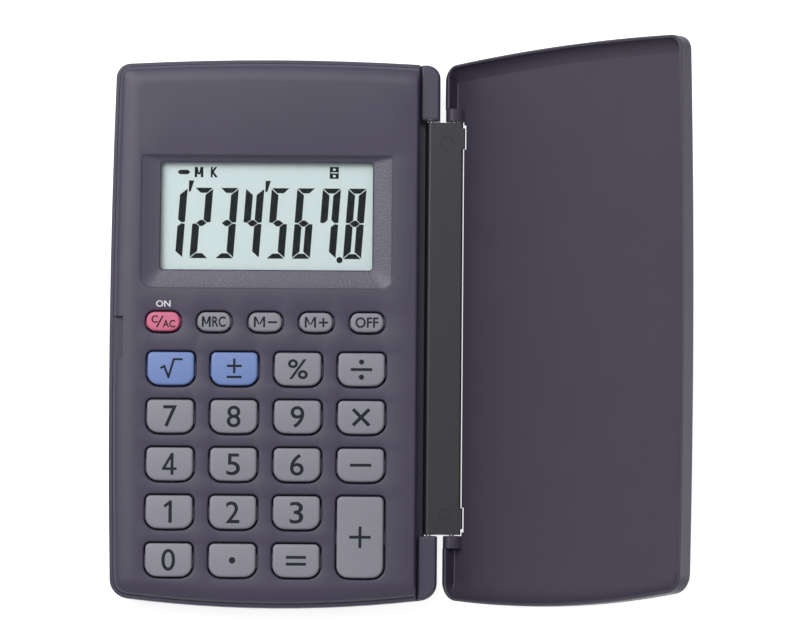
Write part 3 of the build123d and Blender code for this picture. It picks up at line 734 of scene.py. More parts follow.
def rollProfile(rollStart):
    # inset, height and tilt from the flat face over the roll and the rim down to the seam
    faceZ, rim, steps = front["faceZ"], front["rimRadius"], front["rollSteps"]
    rimCentre = front["skirtInset"] + rim
    depth = rim + front["rimDrop"]
    reach = rollStart - rimCentre
    radius = (reach ** 2 + depth ** 2 - rim ** 2) / (2 * (depth - rim))
    meet = asin(reach / (radius - rim))
    stations = []
    for i in range(steps + 1):
        tilt = meet * i / steps
        stations.append((rollStart - radius * sin(tilt), faceZ - radius * (1 - cos(tilt)), tilt))
    for i in range(1, steps + 1):
        tilt = meet + (quarter - meet) * i / steps
        stations.append((rimCentre - rim * sin(tilt), faceZ - depth + rim * cos(tilt), tilt))
    return stations + [(front["skirtInset"] - front["seamTuck"], front["seamZ"], quarter)]


def bezelLoop(share, grow):
    # share 0 is the outer edge, 1 the edge of the flat lip round the window
    def between(outer, inner):
        return outer * (1 - share) + inner * share

    low = [between(bezel["low"][i], bezel["windowLow"][i] - bezel["lip"]) - grow for i in (0, 1)]
    high = [between(bezel["high"][i], bezel["windowHigh"][i] + bezel["lip"]) + grow for i in (0, 1)]
    foot, top = [between(bezel[name], bezel["windowRound"]) + grow * 0.5 for name in ("footRound", "topRound")]
    return roundedLoop(low, high, foot, top, bezel["cornerSteps"], bezel["sideSteps"])


def addHingeEdge(skin, rings):
    # rounded edge along the hinge wall, from the top skirt over the face to the foot skirt,
    # and the wall under it
    first, spans = rings[0][0], front["hingeSpans"]
    start, end = skin.points[first[0]], skin.points[first[-1]]
    faceEnd = skin.add([start.lerp(end, i / spans) for i in range(1, spans)])
    track = [(ring[0], topTilt, 1) for ring, topTilt, _ in reversed(rings)]
    track += [(index, 0.0, 0) for index in faceEnd]
    track += [(ring[-1], footTilt, -1) for ring, _, footTilt in rings]
    previous = [index for index, _, _ in track]
    for down, back in quarterRound(front["hingeRound"], front["hingeSteps"])[1:]:
        turned = []
        for index, tilt, side in track:
            normal = Vector((0, side * sin(tilt), cos(tilt)))
            turned.append(skin.points[index] + (Vector((front["hingeRound"] - back, 0, 0)) - normal * down))
        current = skin.add(turned)
        skin.bridge(previous, current, closed=False)
        previous = current
    lowWall = skin.ring([skin.points[index] for index in previous], front["seamZ"])
    skin.bridge(previous, lowWall, closed=False)
    return faceEnd[::-1], lowWall[::-1]


def addKeyHole(skin, x, y, size):
    # rounded rim and wall of one key hole
    gap, curve = keyGrid["gap"], quarterRound(front["holeRound"], front["holeSteps"])
    levels = [(-gap - out, front["faceZ"] - down) for down, out in curve] + [(-gap, front["ceilingZ"])]
    rings = [skin.ring(keyLoop(x, y, size, inset), z) for inset, z in levels]
    skin.stack(rings)
    return rings[0], rings[-1]


def addBezel(skin):
    # sloped bezel: crest, slope, inner lip and window wall
    depth = front["faceZ"] - bezel["windowZ"]
    levels = [(share, grow, front["faceZ"] - depth * fall) for share, grow, fall in bezel["stages"]]
    levels.append((1.0, -bezel["lip"], bezel["lensTop"]))
    rings = [skin.ring(bezelLoop(share, grow), z) for share, grow, z in levels]
    skin.stack(rings)
    return rings[0], rings[-1]


def buildFront():
    skin = Skin()
    endX = shell["hingeWall"] - front["hingeRound"]
    rings = []
    for stations in zip(*[rollProfile(rollStart) for rollStart in front["rollStarts"]]):
        insets, heights, tilts = zip(*stations)
        ring = skin.ring(shellOutline(insets, endX, leastCorner=front["leastCorner"]), alongOutline(*heights))
        rings.append((ring, tilts[0], tilts[2]))
    for (inner, _, _), (outer, _, _) in zip(rings, rings[1:]):
        skin.bridge(inner, outer, closed=False)
    faceEnd, lowWall = addHingeEdge(skin, rings)
    openings = [addKeyHole(skin, *place) for place in keyPlaces.values()] + [addBezel(skin)]
    skin.fill(rings[0][0] + faceEnd, [rim for rim, _ in openings])
    # inside: wall, ceiling and the rim that closes the shell at the seam
    wall = front["skirtInset"] + front["wall"]
    insets = [wall, front["skirtInset"] + front["sideWall"], wall]
    inner = shellOutline(insets, shell["hingeWall"] - front["wall"])
    ceiling, seam = skin.ring(inner, front["ceilingZ"]), skin.ring(inner, front["seamZ"])
    skin.bridge(seam, ceiling)
    skin.fill(ceiling, [foot for _, foot in openings], down=True)
    skin.fill(rings[-1][0] + lowWall, [seam], down=True)
    for boss in front["bosses"].values():
        for x in boss["xs"]:
            for y in boss["ys"]:
                circle = circlePoints(x, y, boss["radius"], front["bossSides"])
                skin.prism(circle, boss["foot"], front["ceilingZ"] + front["bossSunk"])
    piece = newMeshPiece("front_shell", skin, front["smoothAngle"])
    cutBox(piece, notch["low"], notch["high"], front["smoothAngle"])
    finishPiece(piece, "base", "case_shell", "case", "front_case")
    # coarser grain on the slope round the display
    piece.data.materials.append(finishes["bezel"])
    lowX, lowY = [side + bezel["margin"] for side in bezel["low"]]
    highX, highY = [side - bezel["margin"] for side in bezel["high"]]
    for polygon in piece.data.polygons:
        spot = polygon.center / mm
        if lowX < spot.x < highX and lowY < spot.y < highY:
            if polygon.normal.z > 0.5 and spot.z < front["faceZ"] - bezel["below"]:
                polygon.material_index = 1
    print("front shell built:", len(piece.data.polygons), "faces")


buildFront()

# rear shell and spine keep their CAD form, welded and smooth
finishPiece(mergedCopy("rear_case", "rear_shell"), "base", "case_shell", "case", "rear_case")
finishPiece(mergedCopy("hinge_spine", "spine_link"), "spine", "spine_shell", "spine", "hinge_spine")
print("rear shell and spine welded")

# hinge ends of the case: flat-topped covers over the pin lugs
hinge = {
    "axisX": 35.95,
    "lidAxisX": 41.30,
    "axisZ": 2.95,
    "coverLeft": 33.4,
    "coverTop": 5.05,
    "coverBevel": 0.75,
    "coverSteps": 5,
    "coverAngle": 60.0,
    "topEnd": 49.53,
    "footEnd": -46.63,
    "cornerRounds": (3.0, 3.9),
    "topFace": 49.5,
    "footFace": -46.6,
    "bossLength": 2.9,
    "bossRadius": 2.0,
    "bossReach": 2.3,
    "bossHeel": 0.25,
    "bossArc": (55.0, 215.0),
    "bossSteps": 24,
    "bossBevel": 0.12,
    "bossBevelSteps": 2,
}


def buildLugCover(name, above, level):
    left = hinge["coverLeft"]
    outline = shellOutline([0.0] * 3, rightEdge, hinge["cornerRounds"])
    edge = [p for p in outline if (p.y > level) == above]
    kept = sorted((p for p in edge if p.x > left), key=lambda p: atan2(p.y - level, p.x - left))
    endY = min(edge, key=lambda p: abs(p.x - left)).y
    loop = [Vector((left, level)), Vector((rightEdge, level))]
    loop += (kept if above else kept[::-1]) + [Vector((left, endY))]
    skin = Skin()
    skin.prism(loop, hinge["axisZ"], hinge["coverTop"])
    cover = roundEdges(newMeshPiece(name, skin), hinge["coverBevel"], hinge["coverSteps"], hinge["coverAngle"])
    finishPiece(cover, "base", "case_shell", "case")


buildLugCover("lug_cover_top", True, hinge["topEnd"])
buildLugCover("lug_cover_foot", False, hinge["footEnd"])

# lid, in its own frame: x outwards from the lid's axis, z out of its hollow
lid = {
    "restAngle": 45.0,
    "outside": -2.1,
    "inside": -1.0,
    "edgeRound": 0.8,
    "rim": 1.85,
    "rimWidth": 0.85,
    "rimRound": 0.4,
    "rimFall": 0.01,
    "barRadius": 2.1,
    "barArc": (270.0, 118.0),
    "wallInner": -0.1,
    "wallLean": 0.08,
    "wallFillet": 0.3,
    "coveWidths": (3.1, 2.3, 3.3),
    "coveTop": 1.35,
    "coveStraight": 0.6,
    "hingeShrink": 0.2,
    "leastHingeRound": 0.8,
    "leastCorner": 1.0,
    "steps": (8, 14, 4, 12),  # round the edge, up the whole outside, over half the rim, down the cove
    "smoothAngle": 38.0,
    "cutout": 2.2,
    "tabNotch": 2.88,
    "tabLength": 5.7,
    "tabInset": 3.7,
    "bossBay": 0.3,
    "bayDepth": 4.0,
}
lean = radians(lid["restAngle"])


def lidToWorld(point):
    x, y, z = point
    along = x * cos(lean) - z * sin(lean)
    up = x * sin(lean) + z * cos(lean)
    return Vector((hinge["lidAxisX"] + along, y, hinge["axisZ"] + up))


def lidProfile():
    # stations of insets on three sides, hinge x, and heights on four sides,
    # from the outside of the floor over the rim to its inside
    stations = []
    edge, rim, rimRound, fillet = lid["edgeRound"], lid["rim"], lid["rimRound"], lid["wallFillet"]
    outside, inside, wallX = lid["outside"], lid["inside"], lid["wallInner"]
    edgeSteps, outerSteps, rimSteps, coveSteps = lid["steps"]
    barStart, barEnd = lid["barArc"]
    for i in range(outerSteps + 1):
        turn = radians(barStart - (barStart - barEnd) * i / outerSteps)
        if i <= edgeSteps:
            rise, inset = quarterRound(edge, edgeSteps)[i]
        else:
            inset = 0.0
            rise = edge + (rim - rimRound - outside - edge) * (i - edgeSteps) / (outerSteps - edgeSteps)
        hingeX, hingeZ = lid["barRadius"] * cos(turn), lid["barRadius"] * sin(turn)
        stations.append(([inset] * 3, hingeX, [outside + rise] * 3 + [hingeZ]))
    outerX = stations[-1][1]
    rimCurve = quarterRound(rimRound, rimSteps)
    for inset, drop in rimCurve[1:]:
        z = rim - drop
        stations.append(([inset] * 3, outerX + inset, [z] * 3 + [z - lid["rimFall"]]))
    for drop, back in rimCurve:
        stations.append(([lid["rimWidth"] - back] * 3, wallX - back, [rim - drop] * 4))
    coveTop, straight, half = lid["coveTop"], lid["coveStraight"], coveSteps // 2
    coveHeight = coveTop - inside
    for i in range(coveSteps + 1):
        t = quarter * i / coveSteps
        across = (1 - straight) * (1 - cos(t)) + straight * i / coveSteps
        insets = [lid["rimWidth"] + width * across for width in lid["coveWidths"]]
        z = coveTop - coveHeight * ((1 - straight) * sin(t) + straight * i / coveSteps)
        if i < half:
            hingeX = wallX + lid["wallLean"] * (i + 1) / half
            hingeZ = coveTop - (coveHeight - fillet) * (i + 1) / half
        else:
            s = quarter * (i - half + 1) / (half + 1)
            hingeX = wallX + lid["wallLean"] + fillet * (1 - cos(s))
            hingeZ = inside + fillet * (1 - sin(s))
        stations.append((insets, hingeX, [z] * 3 + [hingeZ]))
    return stations


def buildLid():
    skin = Skin()
    rings = []
    for insets, hingeX, heights in lidProfile():
        endX = hinge["axisX"] - hingeX
        shrink = insets[0] + lid["hingeShrink"] * (rightEdge - endX)
        corners = shell["topCorner"], shell["bottomCorner"]
        rounds = [max(corner - shrink, lid["leastHingeRound"]) for corner in corners]
        outline = shellOutline(insets, endX, rounds, lid["leastCorner"])
        mirrored = [Vector((hinge["axisX"] - p.x, p.y)) for p in outline]
        rings.append(skin.ring(mirrored, alongOutline(*heights)))
    skin.fill(rings[0])
    skin.fill(skin.stack(rings))
    piece = newMeshPiece("lid_shell", skin, place=lidToWorld)
    # bays for the spine, its two tabs and the pin bosses
    topFace, footFace, boss = hinge["topFace"], hinge["footFace"], hinge["bossLength"]
    bar, half, tab = lid["barRadius"] + 1, lid["tabLength"] / 2, lid["tabInset"]
    bays = [
        (-bar, footFace, lid["cutout"], topFace),
        (-bar + 0.1, footFace + tab - half, lid["tabNotch"], footFace + tab + half),
        (-bar + 0.1, topFace - tab - half, lid["tabNotch"], topFace - tab + half),
        (-bar, topFace - 0.1, lid["bossBay"], topFace + boss),
        (-bar, footFace - boss, lid["bossBay"], footFace + 0.1),
    ]
    depth = lid["bayDepth"]
    for lowX, lowY, highX, highY in bays:
        cutBox(piece, (lowX, lowY, -depth), (highX, highY, depth), lid["smoothAngle"], lidToWorld)
    # the lid's finish carries a painted shade: it is the case's plastic made darker
    finishPiece(weighNormals(piece), "lid", "lid_shell", "lid", "lid")


def buildBoss(name, face, way):
    # round towards the spine's side, with a square heel that runs into the lid's floor
    radius, reach, steps = hinge["bossRadius"], hinge["bossReach"], hinge["bossSteps"]
    start, sweep = hinge["bossArc"]
    turns = [radians(start + sweep * i / steps) for i in range(steps + 1)]
    section = [(radius * cos(t), radius * sin(t)) for t in turns]
    section += [(reach, -radius), (reach, hinge["bossHeel"])]
    skin = Skin()
    near, far = [skin.add([(x, y, z) for x, z in section]) for y in (face, face + way * hinge["bossLength"])]
    skin.faces += [tuple(near), tuple(reversed(far))]
    skin.bridge(far, near)
    boss = roundEdges(newMeshPiece(name, skin, place=lidToWorld), hinge["bossBevel"], hinge["bossBevelSteps"])
    # the boss takes the lid's finish, with its painted shade
    finishPiece(boss, "lid", "lid_shell", "lid")


buildLid()
buildBoss("lid_boss_top", hinge["topFace"], 1)
buildBoss("lid_boss_foot", hinge["footFace"], -1)
print("lid built")

# rubber sheet: the flat part stays, and each key gets a dome of its own
rubberSheet = {
    "surface": 3.4,
    "sunk": 0.1,
    "cut": (0.01, 4.6),  # what the cutter takes off the CAD sheet, above its surface
    "domeTop": 4.5,
    "base": 3.0,
    "tip": 1.7,
    "round": 0.2,
    "sides": 28,
    "keep": 0.34,
}


def buildRubber():
    sheet = mergedCopy("key_sheet", "key_sheet_flat")
    width, length = shell["width"], shell["length"]
    cutFoot, cutTop = [rubberSheet["surface"] + rise for rise in rubberSheet["cut"]]
    cutBox(sheet, (-width, -length, cutFoot), (width, length, cutTop))
    finishPiece(sheet, "base", "sheet_rubber", "rubber", "key_sheet")
    low, high = rubberSheet["surface"] - rubberSheet["sunk"], rubberSheet["domeTop"]
    tip, soft = rubberSheet["tip"], rubberSheet["round"]
    for nodeName, (x, y, size) in keyPlaces.items():
        base = min(rubberSheet["base"], size[1] / 2)
        levels = (
            (base, low), (base, rubberSheet["surface"]), (tip, high - soft),
            (tip - soft * 0.3, high - soft * 0.3), (tip - soft, high),
        )
        skin = Skin()
        rings = [skin.ring(circlePoints(x, y, radius, rubberSheet["sides"]), z) for radius, z in levels]
        skin.faces += [tuple(reversed(rings[0])), tuple(skin.stack(rings))]
        dome = newMeshPiece(nodeName + "_dome", skin)
        finishPiece(dome, "base", "sheet_rubber", "rubber")
        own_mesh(dome)


buildRubber()
print("rubber sheet built")

# printed legends: a shape is a list of flat points and the faces between them
ink = {
    "thickness": 0.02,
    "sunk": 0.02,
    "slice": 0.6,  # each word is cut into strips, so that it can follow a crowned key
    "slices": 6,
    "typeSize": 10.0,
    "typeSteps": 6,
    "dotSides": 24,
}


def polygonShape(corners):
    return [Vector(corner) for corner in corners], [tuple(range(len(corners)))]


def moved(shape, x, y):
    points, faces = shape
    return [p + Vector((x, y)) for p in points], faces


def textOutline(word, height, width, weight=0.1):
    # a word centred on the origin, in millimetres
    curve = bpy.data.curves.new("word", "FONT")
    curve.body = word
    curve.size = ink["typeSize"]
    curve.resolution_u = ink["typeSteps"]
    curve.offset = weight
    holder = linkedObject("word", curve)
    mesh = evaluatedMesh(holder)
    bpy.data.objects.remove(holder)
    points = [vertex.co.to_2d() for vertex in mesh.vertices]
    faces = [tuple(polygon.vertices) for polygon in mesh.polygons]
    lowX, highX = min(p.x for p in points), max(p.x for p in points)
    lowY, highY = min(p.y for p in points), max(p.y for p in points)
    scaleX, scaleY = width / (highX - lowX), height / (highY - lowY)
    middle = Vector(((lowX + highX) / 2, (lowY + highY) / 2))
    return [Vector(((p.x - middle.x) * scaleX, (p.y - middle.y) * scaleY)) for p in points], faces


def bar(x, y, length, thickness, turn=0.0):
    along = Vector((cos(turn), sin(turn))) * length / 2
    across = Vector((-sin(turn), cos(turn))) * thickness / 2
    centre = Vector((x, y))
    return polygonShape([
        centre - along - across, centre + along - across, centre + along + across, centre - along + across,
    ])


def dot(x, y, radius):
    return polygonShape(circlePoints(x, y, radius, ink["dotSides"]))


def strokes(points, thickness):
    shapes = []
    for a, b in zip(points, points[1:]):
        span = Vector(b) - Vector(a)
        middle = (Vector(a) + Vector(b)) / 2
        length = span.length + thickness * 0.9
        shapes.append(bar(middle.x, middle.y, length, thickness, atan2(span.y, span.x)))
    return shapes


def letterM(x, y, width, height, stroke):
    halfW, halfH = width / 2, height / 2
    shapes = [bar(x + side * (halfW - stroke / 2), y, stroke, height) for side in (-1, 1)]
    for side in (-1, 1):
        corners = [
            (side * halfW, halfH), (side * (halfW - stroke * 1.15), halfH),
            (-side * stroke * 0.1, -halfH * 0.45), (side * stroke * 0.55, -halfH * 0.45),
        ]
        shapes.append(polygonShape([(x + px, y + py) for px, py in corners[::-side]]))
    return shapes


def printPiece(name, shapes, at, surface, body, slotName, finish, thickness=ink["thickness"]):
    # lays flat shapes on a curved surface as a thin skin of ink
    work = bmesh.new()
    for points, faces in shapes:
        made = [work.verts.new((at[0] + p[0], at[1] + p[1], 0)) for p in points]
        for face in faces:
            if len(set(face)) == len(face):
                work.faces.new([made[i] for i in face])
    weld(work, 1e-4)
    for i in range(-ink["slices"], ink["slices"] + 1):
        geometry = list(work.verts) + list(work.edges) + list(work.faces)
        level = (0, at[1] + i * ink["slice"], 0)
        bmesh.ops.bisect_plane(work, geom=geometry, plane_co=level, plane_no=(0, 1, 0))
    for face in work.faces:
        if face.normal.z < 0:
            face.normal_flip()
    raised = bmesh.ops.extrude_face_region(work, geom=list(work.faces))
    lifted = {item for item in raised["geom"] if isinstance(item, bmesh.types.BMVert)}
    for vertex in work.verts:
        vertex.co.z = surface(vertex.co.x, vertex.co.y) + (thickness if vertex in lifted else -ink["sunk"])
    faceOutwards(work)
    for vertex in work.verts:
        vertex.co *= mm
    mesh = bpy.data.meshes.new(name)
    work.to_mesh(mesh)
    work.free()
    finishPiece(linkedObject(name, mesh), body, slotName, finish)


signs = {
    "stroke": 0.68,
    "long": 4.9,
    "digit": (5.0, 3.15, 0.06),  # height, width and weight
    "wordHeight": 2.45,
    "wordWeight": 0.2,
    "wordStroke": 0.45,
}


def keySigns():
    stroke, long, tall = signs["stroke"], signs["long"], signs["digit"][0]
    height, weight, thin = signs["wordHeight"], signs["wordWeight"], signs["wordStroke"]
    minus = bar(0, 0, long, stroke)
    memory = letterM(-1.3, 0, 2.6, height, thin) + [bar(1.7, -0.05, 2.1, thin)]
    shapes = {
        "key_divide": [minus, dot(0, 1.75, 0.6), dot(0, -1.75, 0.6)],
        "key_times": [bar(0, 0, 5.3, 0.78, turn) for turn in (pi / 4, -pi / 4)],
        "key_minus": [minus],
        "key_plus": [minus, bar(0, 0, stroke, long)],
        "key_equals": [bar(0, y, long * 0.94, stroke) for y in (0.78, -0.78)],
        "key_point": [dot(0, 0, 0.75)],
        "key_percent": [textOutline("%", 4.6, 4.6)],
        "key_root": strokes([(-2.2, 0.1), (-1.5, 0.5), (-0.5, -2.0), (0.7, 2.1), (2.5, 2.1)], 0.5),
        "key_sign": [bar(0, 0.65, 3.4, 0.55), bar(0, 0.65, 0.55, 3.4), bar(0, -1.9, 3.4, 0.55)],
        "key_clear": [
            moved(textOutline("C", 1.75, 1.45, weight), -1.95, 0.5),
            bar(-0.75, -0.05, 3.0, 0.36, radians(62)),
            moved(textOutline("AC", 1.75, 2.9, weight), 1.35, -0.55),
        ],
        "key_memory_minus": memory,
        "key_memory_plus": memory + [bar(1.7, -0.05, thin, 2.1)],
        "key_off": [textOutline("OFF", height, 5.3, weight)],
        "key_recall": [
            *letterM(-1.75, 0, 2.05, height, thin), moved(textOutline("RC", height, 3.1, weight), 1.15, 0),
        ],
        "key_1": [bar(0.3, 0, 0.78, tall), *strokes([(0.3, 2.3), (-0.85, 1.4)], 0.66)],
        "key_4": [
            bar(0.6, 0, 0.66, tall), bar(0, -1.1, 3.3, 0.6), *strokes([(-1.35, -1.0), (0.5, 2.15)], 0.62),
        ],
    }
    for digit in "02356789":
        shapes["key_" + digit] = [textOutline(digit, *signs["digit"])]
    return shapes


legends = keySigns()
for nodeName, (x, y, size) in keyPlaces.items():
    crown, slotName = keyCrowns[nodeName], keyLook(nodeName)[0]
    printPiece(nodeName + "_legend", legends[nodeName], (x, y), crown, nodeName, slotName, "legend")
printPiece(
    "on_print", [textOutline("ON", 1.5, 3.35, signs["wordWeight"])], (-25.5, 6.33),
    lambda x, y: front["faceZ"], "base", "case_shell", "whiteInk",
)
print("legends printed")

# display: segments on a pale film
display = {
    "z": 4.385,
    "thickness": 0.01,
    "filmLow": (-27.4, 13.4, 4.36),
    "filmHigh": (23.55, 40.4, 4.37),
    "pitch": 5.92,
    "lastCentre": 18.4,
    "middleY": 25.45,
    "width": 4.2,
    "height": 16.4,
    "upright": 1.66,
    "level": 1.42,
    "levelShare": 0.82,
    "gap": 0.11,
    "slant": 0.07,
    "tickDigits": (0, 3),
    "tick": ((2.9, -0.9), (3.35, -0.9), (4.15, 1.7), (2.95, 1.7)),
    "point": (14.95, -8.45, 0.72),
    "iconY": 11.85,
    "diamondX": -21.3,
    "diamond": ((-1.5, 0), (-0.9, -0.52), (0.9, -0.52), (1.5, 0), (0.9, 0.52), (-0.9, 0.52)),
    "boxX": 13.55,
}
segmentsOf = ("bc", "abged", "abgcd", "fgbc", "afgcd", "afgecd", "fabc", "abcdefg")  # the digits 1 to 8


def segmentShape(letter):
    w, h = display["width"], display["height"]
    tv, th, g = display["upright"], display["level"], display["gap"]
    half, thin = h / 2, display["levelShare"]
    if letter == "a":
        shape = [(g, h), (w - g, h), (w - tv * thin, h - th * thin), (tv * thin, h - th * thin)]
    elif letter == "d":
        shape = [(g, 0), (tv * thin, th * thin), (w - tv * thin, th * thin), (w - g, 0)]
    elif letter == "g":
        shape = [
            (tv * 0.55, half), (tv + g, half + th / 2), (w - tv - g, half + th / 2),
            (w - tv * 0.55, half), (w - tv - g, half - th / 2), (tv + g, half - th / 2),
        ]
    else:
        shape = [
            (0, h - g * 2), (0, half + g * 2), (tv * 0.5, half + g), (tv, half + th / 2 + g),
            (tv, h - th - g * 2),
        ]
        if letter in "ec":
            shape = [(x, h - y) for x, y in shape]
        if letter in "bc":
            shape = [(w - x, y) for x, y in shape]
    points = [Vector((x - w / 2 + display["slant"] * (y - half), y - half)) for x, y in shape]
    area = sum(p.x * q.y - q.x * p.y for p, q in zip(points, points[1:] + points[:1]))
    return polygonShape(points if area > 0 else points[::-1])


def displayShapes():
    centres = [display["lastCentre"] - display["pitch"] * (7 - index) for index in range(8)]
    shapes = []
    for letters, centre in zip(segmentsOf, centres):
        shapes += [moved(segmentShape(letter), centre, 0) for letter in letters]
    tick = polygonShape(display["tick"])
    shapes += [moved(tick, centres[index], display["height"] / 2) for index in display["tickDigits"]]
    shapes.append(dot(*display["point"]))
    iconY, boxX = display["iconY"], display["boxX"]
    shapes.append(moved(polygonShape(display["diamond"]), display["diamondX"], iconY))
    shapes += letterM(-17.8, iconY, 2.0, 2.4, 0.58)
    shapes.append(moved(textOutline("K", 2.4, 1.65, 0.5), -14.25, iconY))
    for side in (1, -1):
        level = iconY + side * 0.75
        shapes += [bar(boxX + across * 0.68, level, 0.72, 1.25) for across in (-1, 1)]
        shapes += [bar(boxX, level + rise * side * 0.44, 0.7, 0.37) for rise in (1, -1)]
        shapes.append(bar(boxX + side * 0.94, iconY, 0.2, 0.3))
    return shapes


film = Skin()
film.box(display["filmLow"], display["filmHigh"])
finishPiece(newMeshPiece("display_film", film), "base", "display_reflector", "reflector")
printPiece(
    "display_segments", displayShapes(), (0, display["middleY"]), lambda x, y: display["z"], "base",
    "chip_resin", "segment", display["thickness"],
)
print("display drawn")

# screw threads, wound by Geometry Nodes round every shaft
thread = {
    "case": {"Radius": 0.9, "Pitch": 0.65, "Length": 2.5, "Depth": 0.16},
    "board": {"Radius": 0.5, "Pitch": 0.4, "Length": 1.9, "Depth": 0.16},
}


def buildThreadTree():
    sockets = {"Places": "Geometry", "Radius": "Float", "Pitch": "Float", "Length": "Float", "Depth": "Float"}
    tree, given, result = newTree(
        "screwThread", "GeometryNodeTree", {**sockets, "Finish": "Material"}, {"Thread": "Geometry"},
    )
    tree.is_modifier = True
    spiral = addNode(tree, "GeometryNodeCurveSpiral", {
        "Rotations": calculate(tree, "DIVIDE", given["Length"], given["Pitch"]),
        "Start Radius": given["Radius"], "End Radius": given["Radius"], "Height": given["Length"],
        "Resolution": 20,
    })
    profile = addNode(tree, "GeometryNodeCurvePrimitiveCircle", {"Radius": given["Depth"], "Resolution": 4})
    swept = addNode(tree, "GeometryNodeCurveToMesh", {
        "Curve": spiral.outputs["Curve"], "Profile Curve": profile.outputs["Curve"], "Fill Caps": True,
    })
    placed = addNode(
        tree, "GeometryNodeInstanceOnPoints", {"Points": given["Places"], "Instance": swept.outputs["Mesh"]},
    )
    real = addNode(tree, "GeometryNodeRealizeInstances", {"Geometry": placed.outputs["Instances"]})
    painted = addNode(
        tree, "GeometryNodeSetMaterial", {"Geometry": real.outputs["Geometry"], "Material": given["Finish"]},
    )
    tree.links.new(painted.outputs["Geometry"], result["Thread"])
    return tree


threadTree = buildThreadTree()


def buildThreads(kind):
    # one thread round each shaft of a set of screws, under their tops
    name, sizes, boss = kind + "_screw_threads", thread[kind], front["bosses"][kind]
    topZ = max(vertex.co.z for vertex in nodes[kind + "_screws"].data.vertices)
    footZ = topZ - (sizes["Length"] + sizes["Depth"]) * mm
    piece = linkedMesh(name, [(x * mm, y * mm, footZ) for x in boss["xs"] for y in boss["ys"]], [])
    winding = piece.modifiers.new("thread", "NODES")
    winding.node_group = threadTree
    for item in threadTree.interface.items_tree:
        if item.name in sizes:
            winding[item.identifier] = sizes[item.name] * mm
        elif item.name == "Finish":
            winding[item.identifier] = finishes["zinc"]
    applyModifiers(piece)
    editMesh(piece.data, faceOutwards)
    finishPiece(smoothPiece(piece, 50), "base", "screw_steel", "zinc")
    print(name, "wound:", len(piece.data.polygons), "faces")


for kind in thread:
    buildThreads(kind)

# moulding marks on the spine: a low ring round each ejector spot
ejector = {
    "radius": 1.35,
    "width": 0.15,
    "height": 0.045,
    "sides": 48,
    "x": 39.59,
    "inset": 4.6,
    # shares of half the width and of the height, round the ring's section
    "section": ((-1, -0.1), (-0.55, 1.0), (0.55, 1.0), (1, -0.1), (0.5, -1.0), (-0.5, -1.0)),
}


def buildEjectorRings():
    spots = [vertex.co / mm for vertex in nodes["hinge_spine"].data.vertices]
    ys = [spot.y for spot in spots]
    skin = Skin()
    for y in (max(ys) - ejector["inset"], min(ys) + ejector["inset"]):
        base = max(spot.z for spot in spots if abs(spot.x - ejector["x"]) < 2 and abs(spot.y - y) < 2)
        rings = []
        for reach, height in ejector["section"]:
            radius = ejector["radius"] + ejector["width"] / 2 * reach
            circle = circlePoints(ejector["x"], y, radius, ejector["sides"])
            rings.append(skin.ring(circle, base + ejector["height"] * height))
        for inner, outer in zip(rings, rings[1:] + rings[:1]):
            skin.bridge(inner, outer)
    finishPiece(newMeshPiece("ejector_rings", skin, 70), "spine", "spine_shell", "spine")


buildEjectorRings()

# stage, lights and camera
stage = {"size": 4.0, "floorZ": -0.0044, "glow": 0.75}  # the lid folds under the case, down to 4.3 mm
lights = {
    "worldStrength": 0.3,
    "aim": Vector((0.02, 0.0, 0.0)),
    "key": {"tilt": 35.0, "heading": 130.0, "distance": 1.0, "size": 0.75, "power": 7.2},
    "fill": {"tilt": 74.0, "heading": -5.0, "distance": 1.1, "size": 0.5, "power": 3.5},
}
camera = {
    "place": Vector((49.914, -108.719, 1156.566)) * mm,
    "pitch": 0.0968,
    "roll": -0.0085,
    "yaw": -0.0181,
    "focalPixels": 5014.78,
    "imageWidth": 800,
}


def directlySeen(tree):
    # 1 for the camera, for reflections and through clear parts, 0 for light that falls on the object
    ray = tree.nodes.new("ShaderNodeLightPath").outputs
    seen = calculate(tree, "MAXIMUM", ray["Is Camera Ray"], ray["Is Transmission Ray"])
    return calculate(tree, "MAXIMUM", seen, ray["Is Glossy Ray"])


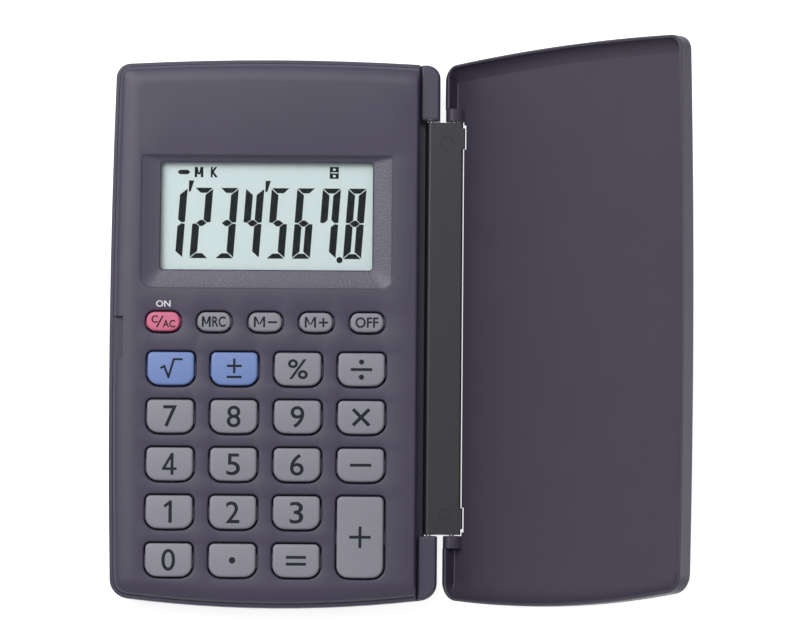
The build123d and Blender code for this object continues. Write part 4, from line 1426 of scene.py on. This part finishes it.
def buildFloor():
    half, z = stage["size"] / 2, stage["floorZ"]
    corners = [(-half, -half, z), (half, -half, z), (half, half, z), (-half, half, z)]
    floor = linkedMesh("floor", corners, [(0, 1, 2, 3)])
    material, tree, shader = newMaterial("paleFloor", {
        "Base Color": (0.8, 0.8, 0.8, 1), "Roughness": 0.9, "Specular IOR Level": 0.1,
        "Emission Color": (1, 1, 1, 1),
    })
    glow = calculate(tree, "MULTIPLY", directlySeen(tree), stage["glow"])
    tree.links.new(glow, shader["Emission Strength"])
    floor.data.materials.append(material)


def buildWorld():
    world = bpy.data.worlds.new("studio")
    bpy.context.scene.world = world
    world.use_nodes = True
    tree = world.node_tree
    background = tree.nodes["Background"].inputs
    background["Color"].default_value = (1, 1, 1, 1)
    strength = mapRange(tree, directlySeen(tree), toLow=lights["worldStrength"], toHigh=1.0)
    tree.links.new(strength, background["Strength"])


def addSoftLight(name):
    values = lights[name]
    tilt, turn = radians(values["tilt"]), radians(values["heading"])
    away = Vector((sin(tilt) * cos(turn), sin(tilt) * sin(turn), cos(tilt)))
    lamp = bpy.data.lights.new(name + "_light", "AREA")
    lamp.shape = "SQUARE"
    lamp.size = values["size"]
    lamp.energy = values["power"]
    holder = linkedObject(name + "_light", lamp)
    holder.location = lights["aim"] + away * values["distance"]
    holder.rotation_euler = away.to_track_quat("Z", "Y").to_euler()


def buildCamera():
    data = bpy.data.cameras.new("photoCamera")
    data.sensor_width = 36.0
    data.lens = camera["focalPixels"] / camera["imageWidth"] * data.sensor_width
    (cw, sw), (ca, sa), (cr, sr) = [(cos(camera[k]), sin(camera[k])) for k in ("yaw", "pitch", "roll")]
    level = Vector((cw, 0, sw))
    rise = Vector((-sa * sw, ca, sa * cw))
    back = Vector((-ca * sw, -sa, ca * cw))
    axes = Matrix((level * cr - rise * sr, level * sr + rise * cr, back)).transposed()
    holder = linkedObject("photoCamera", data)
    holder.matrix_world = Matrix.Translation(camera["place"]) @ axes.to_4x4()
    bpy.context.scene.camera = holder


buildFloor()
buildWorld()
addSoftLight("key")
addSoftLight("fill")
buildCamera()
bpy.context.scene.view_settings.view_transform = "Standard"
print("stage, lights and camera placed")
